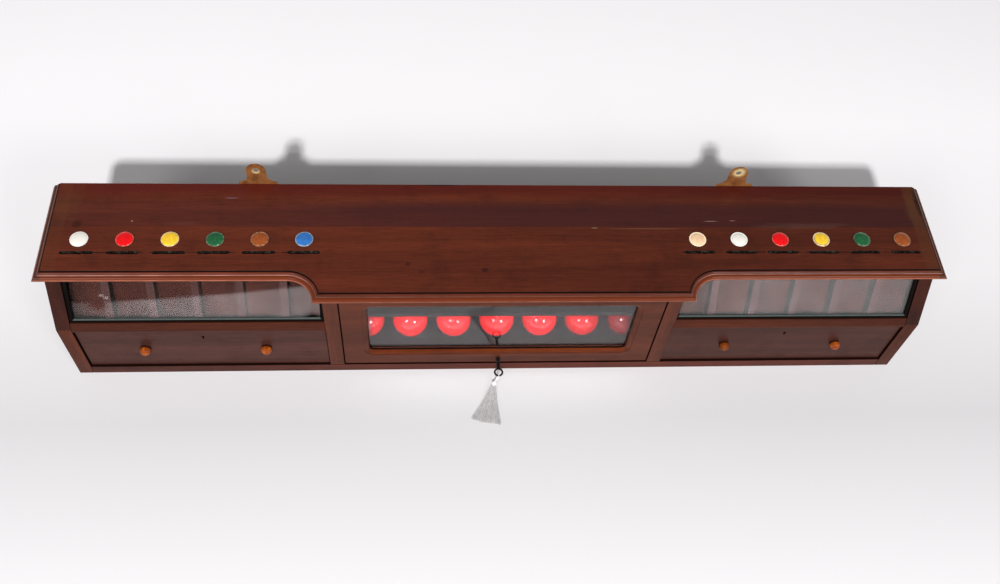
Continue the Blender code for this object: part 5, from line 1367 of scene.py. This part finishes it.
@dataclass
class Tassel(Bench):
    """Grey silk tassel: loop over the key's bow, bound head, and a skirt fanned along the floor."""

    strands: int = 230
    strand_points: int = 12
    strand_radius: float = 0.00022
    loop_radius: float = 0.0006
    head_radius: float = 0.0036
    head_x: float = -0.0052
    head_z: float = 0.0072
    bar_radius: float = 0.0014
    bend_steps: int = 12
    whippings: int = 3
    knot_steps: int = 9
    knot_flats: int = 28
    skirt_yaw_deg: float = 13.0
    skirt_length: float = 0.0625
    end_half_width: float = 0.0215
    neck: float = 0.0022
    rest: float = 0.0008
    seed: int = 7

    def tube(self, name: str, runs: Sequence[Sequence[Vector]], radius: float) -> Piece:
        """Mesh tubes along runs of points.

        Args:
            name: Name of the piece.
            runs: Points of each tube.
            radius: Radius of every tube.

        Returns:
            The piece.
        """
        curve = bpy.data.curves.new(name, "CURVE")
        curve.dimensions = "3D"
        curve.bevel_depth = radius
        curve.bevel_resolution = 1
        curve.use_fill_caps = True
        for run in runs:
            spline = curve.splines.new("POLY")
            spline.points.add(len(run) - 1)
            for point, place in zip(spline.points, run):
                point.co = (*place, 1.0)
        self.alone(linked(name, curve))
        bpy.ops.object.convert(target="MESH")
        return bpy.context.object

    @property
    def bar(self) -> Sequence[float]:
        """Middle of the bow's bar, about which the tassel swings."""
        return next(joint for joint in frame["joints"] if joint["name"] == "tassel_swing")["pos_m"]

    @property
    def head(self) -> Vector:
        """Middle of the tassel's head."""
        return Vector((self.head_x, self.bar[1], self.head_z))

    def skirt(self) -> Piece:
        """Threads that spread from the head and lie on the floor."""
        chance = random.Random(self.seed)
        head = self.head
        yaw = math.radians(self.skirt_yaw_deg)
        along = Vector((-math.sin(yaw), -math.cos(yaw), 0.0))
        across = Vector((math.cos(yaw), -math.sin(yaw), 0.0))
        runs = []
        for _ in range(self.strands):
            lean = chance.uniform(-1.0, 1.0)
            layer = chance.random()
            reach = self.skirt_length * chance.uniform(0.93, 1.0) * (1.0 - 0.03 * lean * lean)
            wave = chance.uniform(-0.0008, 0.0008)
            run = []
            for step in range(self.strand_points):
                share = step / (self.strand_points - 1)
                width = self.neck + (self.end_half_width - self.neck) * share ** 1.25
                offset = lean * width + wave * math.sin(share * math.pi * 2.2)
                spread = (1 - share) ** 3
                height = (self.rest + self.neck * layer * (1 - 0.6 * share)
                          + (head.z - self.neck) * spread)
                run.append(Vector((head.x, head.y, 0.0)) + along * reach * share + across * offset
                           + Vector((0.0, 0.0, height)))
            runs.append(run)
        return self.tube("tassel_skirt", runs, self.strand_radius)

    def loop(self) -> Piece:
        """Cord from the head over the bow's bar and back."""
        _, y, z = self.bar
        reach = self.bar_radius + SEAT_GAP + self.loop_radius
        turns = [math.pi - math.pi * step / self.bend_steps for step in range(self.bend_steps + 1)]
        over = [Vector((0.0, y + reach * math.cos(turn), z + reach * math.sin(turn))) for turn in turns]
        start = self.head + Vector((0.0, -self.loop_radius, 0.0015))
        end = self.head + Vector((0.0, self.loop_radius, 0.0015))
        return self.tube("tassel_loop", [[start, *over, end]], self.loop_radius)

    def knot(self) -> Piece:
        """Bound head: a round ball over a whipped neck."""
        radius = self.head_radius
        foot, neck, turn_rise = -1.3 * radius, 0.62 * radius, 0.34 * radius
        profile = [(0.0, foot), (neck, foot)]
        for ring in range(self.whippings):
            low = foot + turn_rise * ring
            profile += [(0.78 * radius, low + 0.10 * radius), (neck, low + turn_rise)]
        for step in range(1, self.knot_steps + 1):
            turn = math.radians(-38 + 128 * step / self.knot_steps)
            profile.append((radius * math.cos(turn), radius * math.sin(turn)))
        made = self.turned("tassel_knot", profile, self.knot_flats)
        yaw = math.radians(self.skirt_yaw_deg)
        self.put(made, self.head, (math.radians(-48), 0.0, -yaw))
        return made

    def build(self) -> None:
        """Make the three parts of the tassel."""
        palette = self.palette
        pieces = ((self.skirt(), palette.silk), (self.loop(), palette.white), (self.knot(), palette.white))
        for piece, finish in pieces:
            self.smooth(piece)
            self.dress(piece, finish, "tassel", ("tassel",))
        LOG.info("tassel laid out")


@dataclass
class BallRack(Bench):
    """Shelf, rack and a row of red balls."""

    rings: int = 5
    dim_ball: int = 6
    worn_ball: int = 7

    def ball(self, number: int) -> None:
        """Ball shaped from a cube whose faces are divided and drawn out to a sphere."""
        node = f"red_ball_{number}"
        low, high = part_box(node)
        ball = self.block(f"{node}_finished", low, high)
        with self.editing(ball):
            bpy.ops.mesh.select_all(action="SELECT")
            for _ in range(self.rings):
                bpy.ops.mesh.subdivide(number_cuts=1)
            bpy.ops.transform.tosphere(value=1.0)
        middle = (low + high) / 2
        radius = (high.z - low.z) / 2
        for vertex in ball.data.vertices:
            vertex.co = middle + (vertex.co - middle).normalized() * radius
        self.alone(ball)
        bpy.ops.object.shade_smooth()
        palette = self.palette
        resin = {self.dim_ball: palette.dim_ball, self.worn_ball: palette.old_ball}.get(number, palette.ball)
        self.dress(ball, resin, "case", (node,))

    def build(self) -> None:
        """Dress shelf and rack, and shape the balls."""
        for node in ("ball_shelf", "ball_rack"):
            self.refinish(node, self.palette.grey, "case", BOARD_ARRIS)
        for number in range(1, 8):
            self.ball(number)
        LOG.info("balls racked")


@dataclass
class HangingPlate(Bench):
    """Brass plate on the back, with its countersunk screws."""

    side: Side
    screw_spread: float = 0.016
    screw_z: float = 0.18341
    head_radius: float = 0.0041
    shank_radius: float = 0.0018
    head_depth: float = 0.0017
    screw_length: float = 0.0090
    flush: float = 0.0001
    groove_width: float = 0.0009
    groove_depth: float = 0.0009
    arris: float = 0.0003
    lip: float = 0.0002
    play: float = 0.00015
    flats: int = 28
    turns_deg: tuple[int, int, int] = (23, 61, 17)

    def cone(self, name: str, wider: float) -> Piece:
        """Countersunk head above its shank, a little wider all round for the hole."""
        radius, shank = self.head_radius + wider, self.shank_radius + wider
        profile = [(0.0, -self.screw_length), (shank, -self.screw_length), (shank, -self.head_depth - wider),
                   (radius, -self.lip), (radius, wider * 5), (0.0, wider * 5)]
        return self.turned(name, profile, self.flats)

    def screw(self, number: int, place: Vector) -> None:
        """Slotted screw, each turned to an angle of its own."""
        name = f"{self.side.label}_plate_screw_{number}"
        screw = self.cone(name, 0.0)
        reach = self.head_radius * 1.2
        groove = self.block("groove", (-reach, -self.groove_width / 2, -self.groove_depth),
                            (reach, self.groove_width / 2, CUT_OVERRUN))
        self.cut(screw, [groove])
        first, each, apart = self.turns_deg
        turn = math.radians(first + each * number + apart * self.side.value)
        self.put(screw, (0.0, 0.0, 0.0), (0.0, 0.0, turn))
        self.put(screw, place, (-math.pi / 2, 0.0, 0.0))
        self.smooth(screw)
        self.dress(screw, self.palette.screw, "case")

    def build(self) -> None:
        """Refinish the plate, sink its screw holes and fill them."""
        node = self.side.node("hanging_plate")
        plate = self.traced(node, self.arris)
        low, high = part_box(node)
        for number, way in enumerate((-1, 1)):
            across = (low.x + high.x) / 2 + way * self.screw_spread
            place = Vector((across, high.y - self.flush, self.screw_z))
            sink = self.cone("sink", self.play)
            self.put(sink, place, (-math.pi / 2, 0.0, 0.0))
            self.cut(plate, [sink])
            self.screw(number, place)
        self.smooth(plate)
        self.dress(plate, self.palette.brass, "case", (node,))
        LOG.info("%s screwed on", node)


def main() -> None:
    """Dress the scoreboard, piece by piece."""
    logging.basicConfig(level=logging.INFO, format="%(name)s: %(message)s")
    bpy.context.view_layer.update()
    Camera().build()
    Studio().build()
    palette = Palette()
    TopBoard(palette).build()
    for node in sorted(name for name in frame["nodes"] if name.endswith("_disc")):
        ScoreDisc(palette, node).build()
    Carcass(palette).build()
    for side in Side:
        SideWindow(palette, side).build()
        Drawer(palette, side).build()
        HangingPlate(palette, side).build()
    Door(palette).build()
    Tassel(palette).build()
    BallRack(palette).build()


if __name__ == "__main__":
    main()
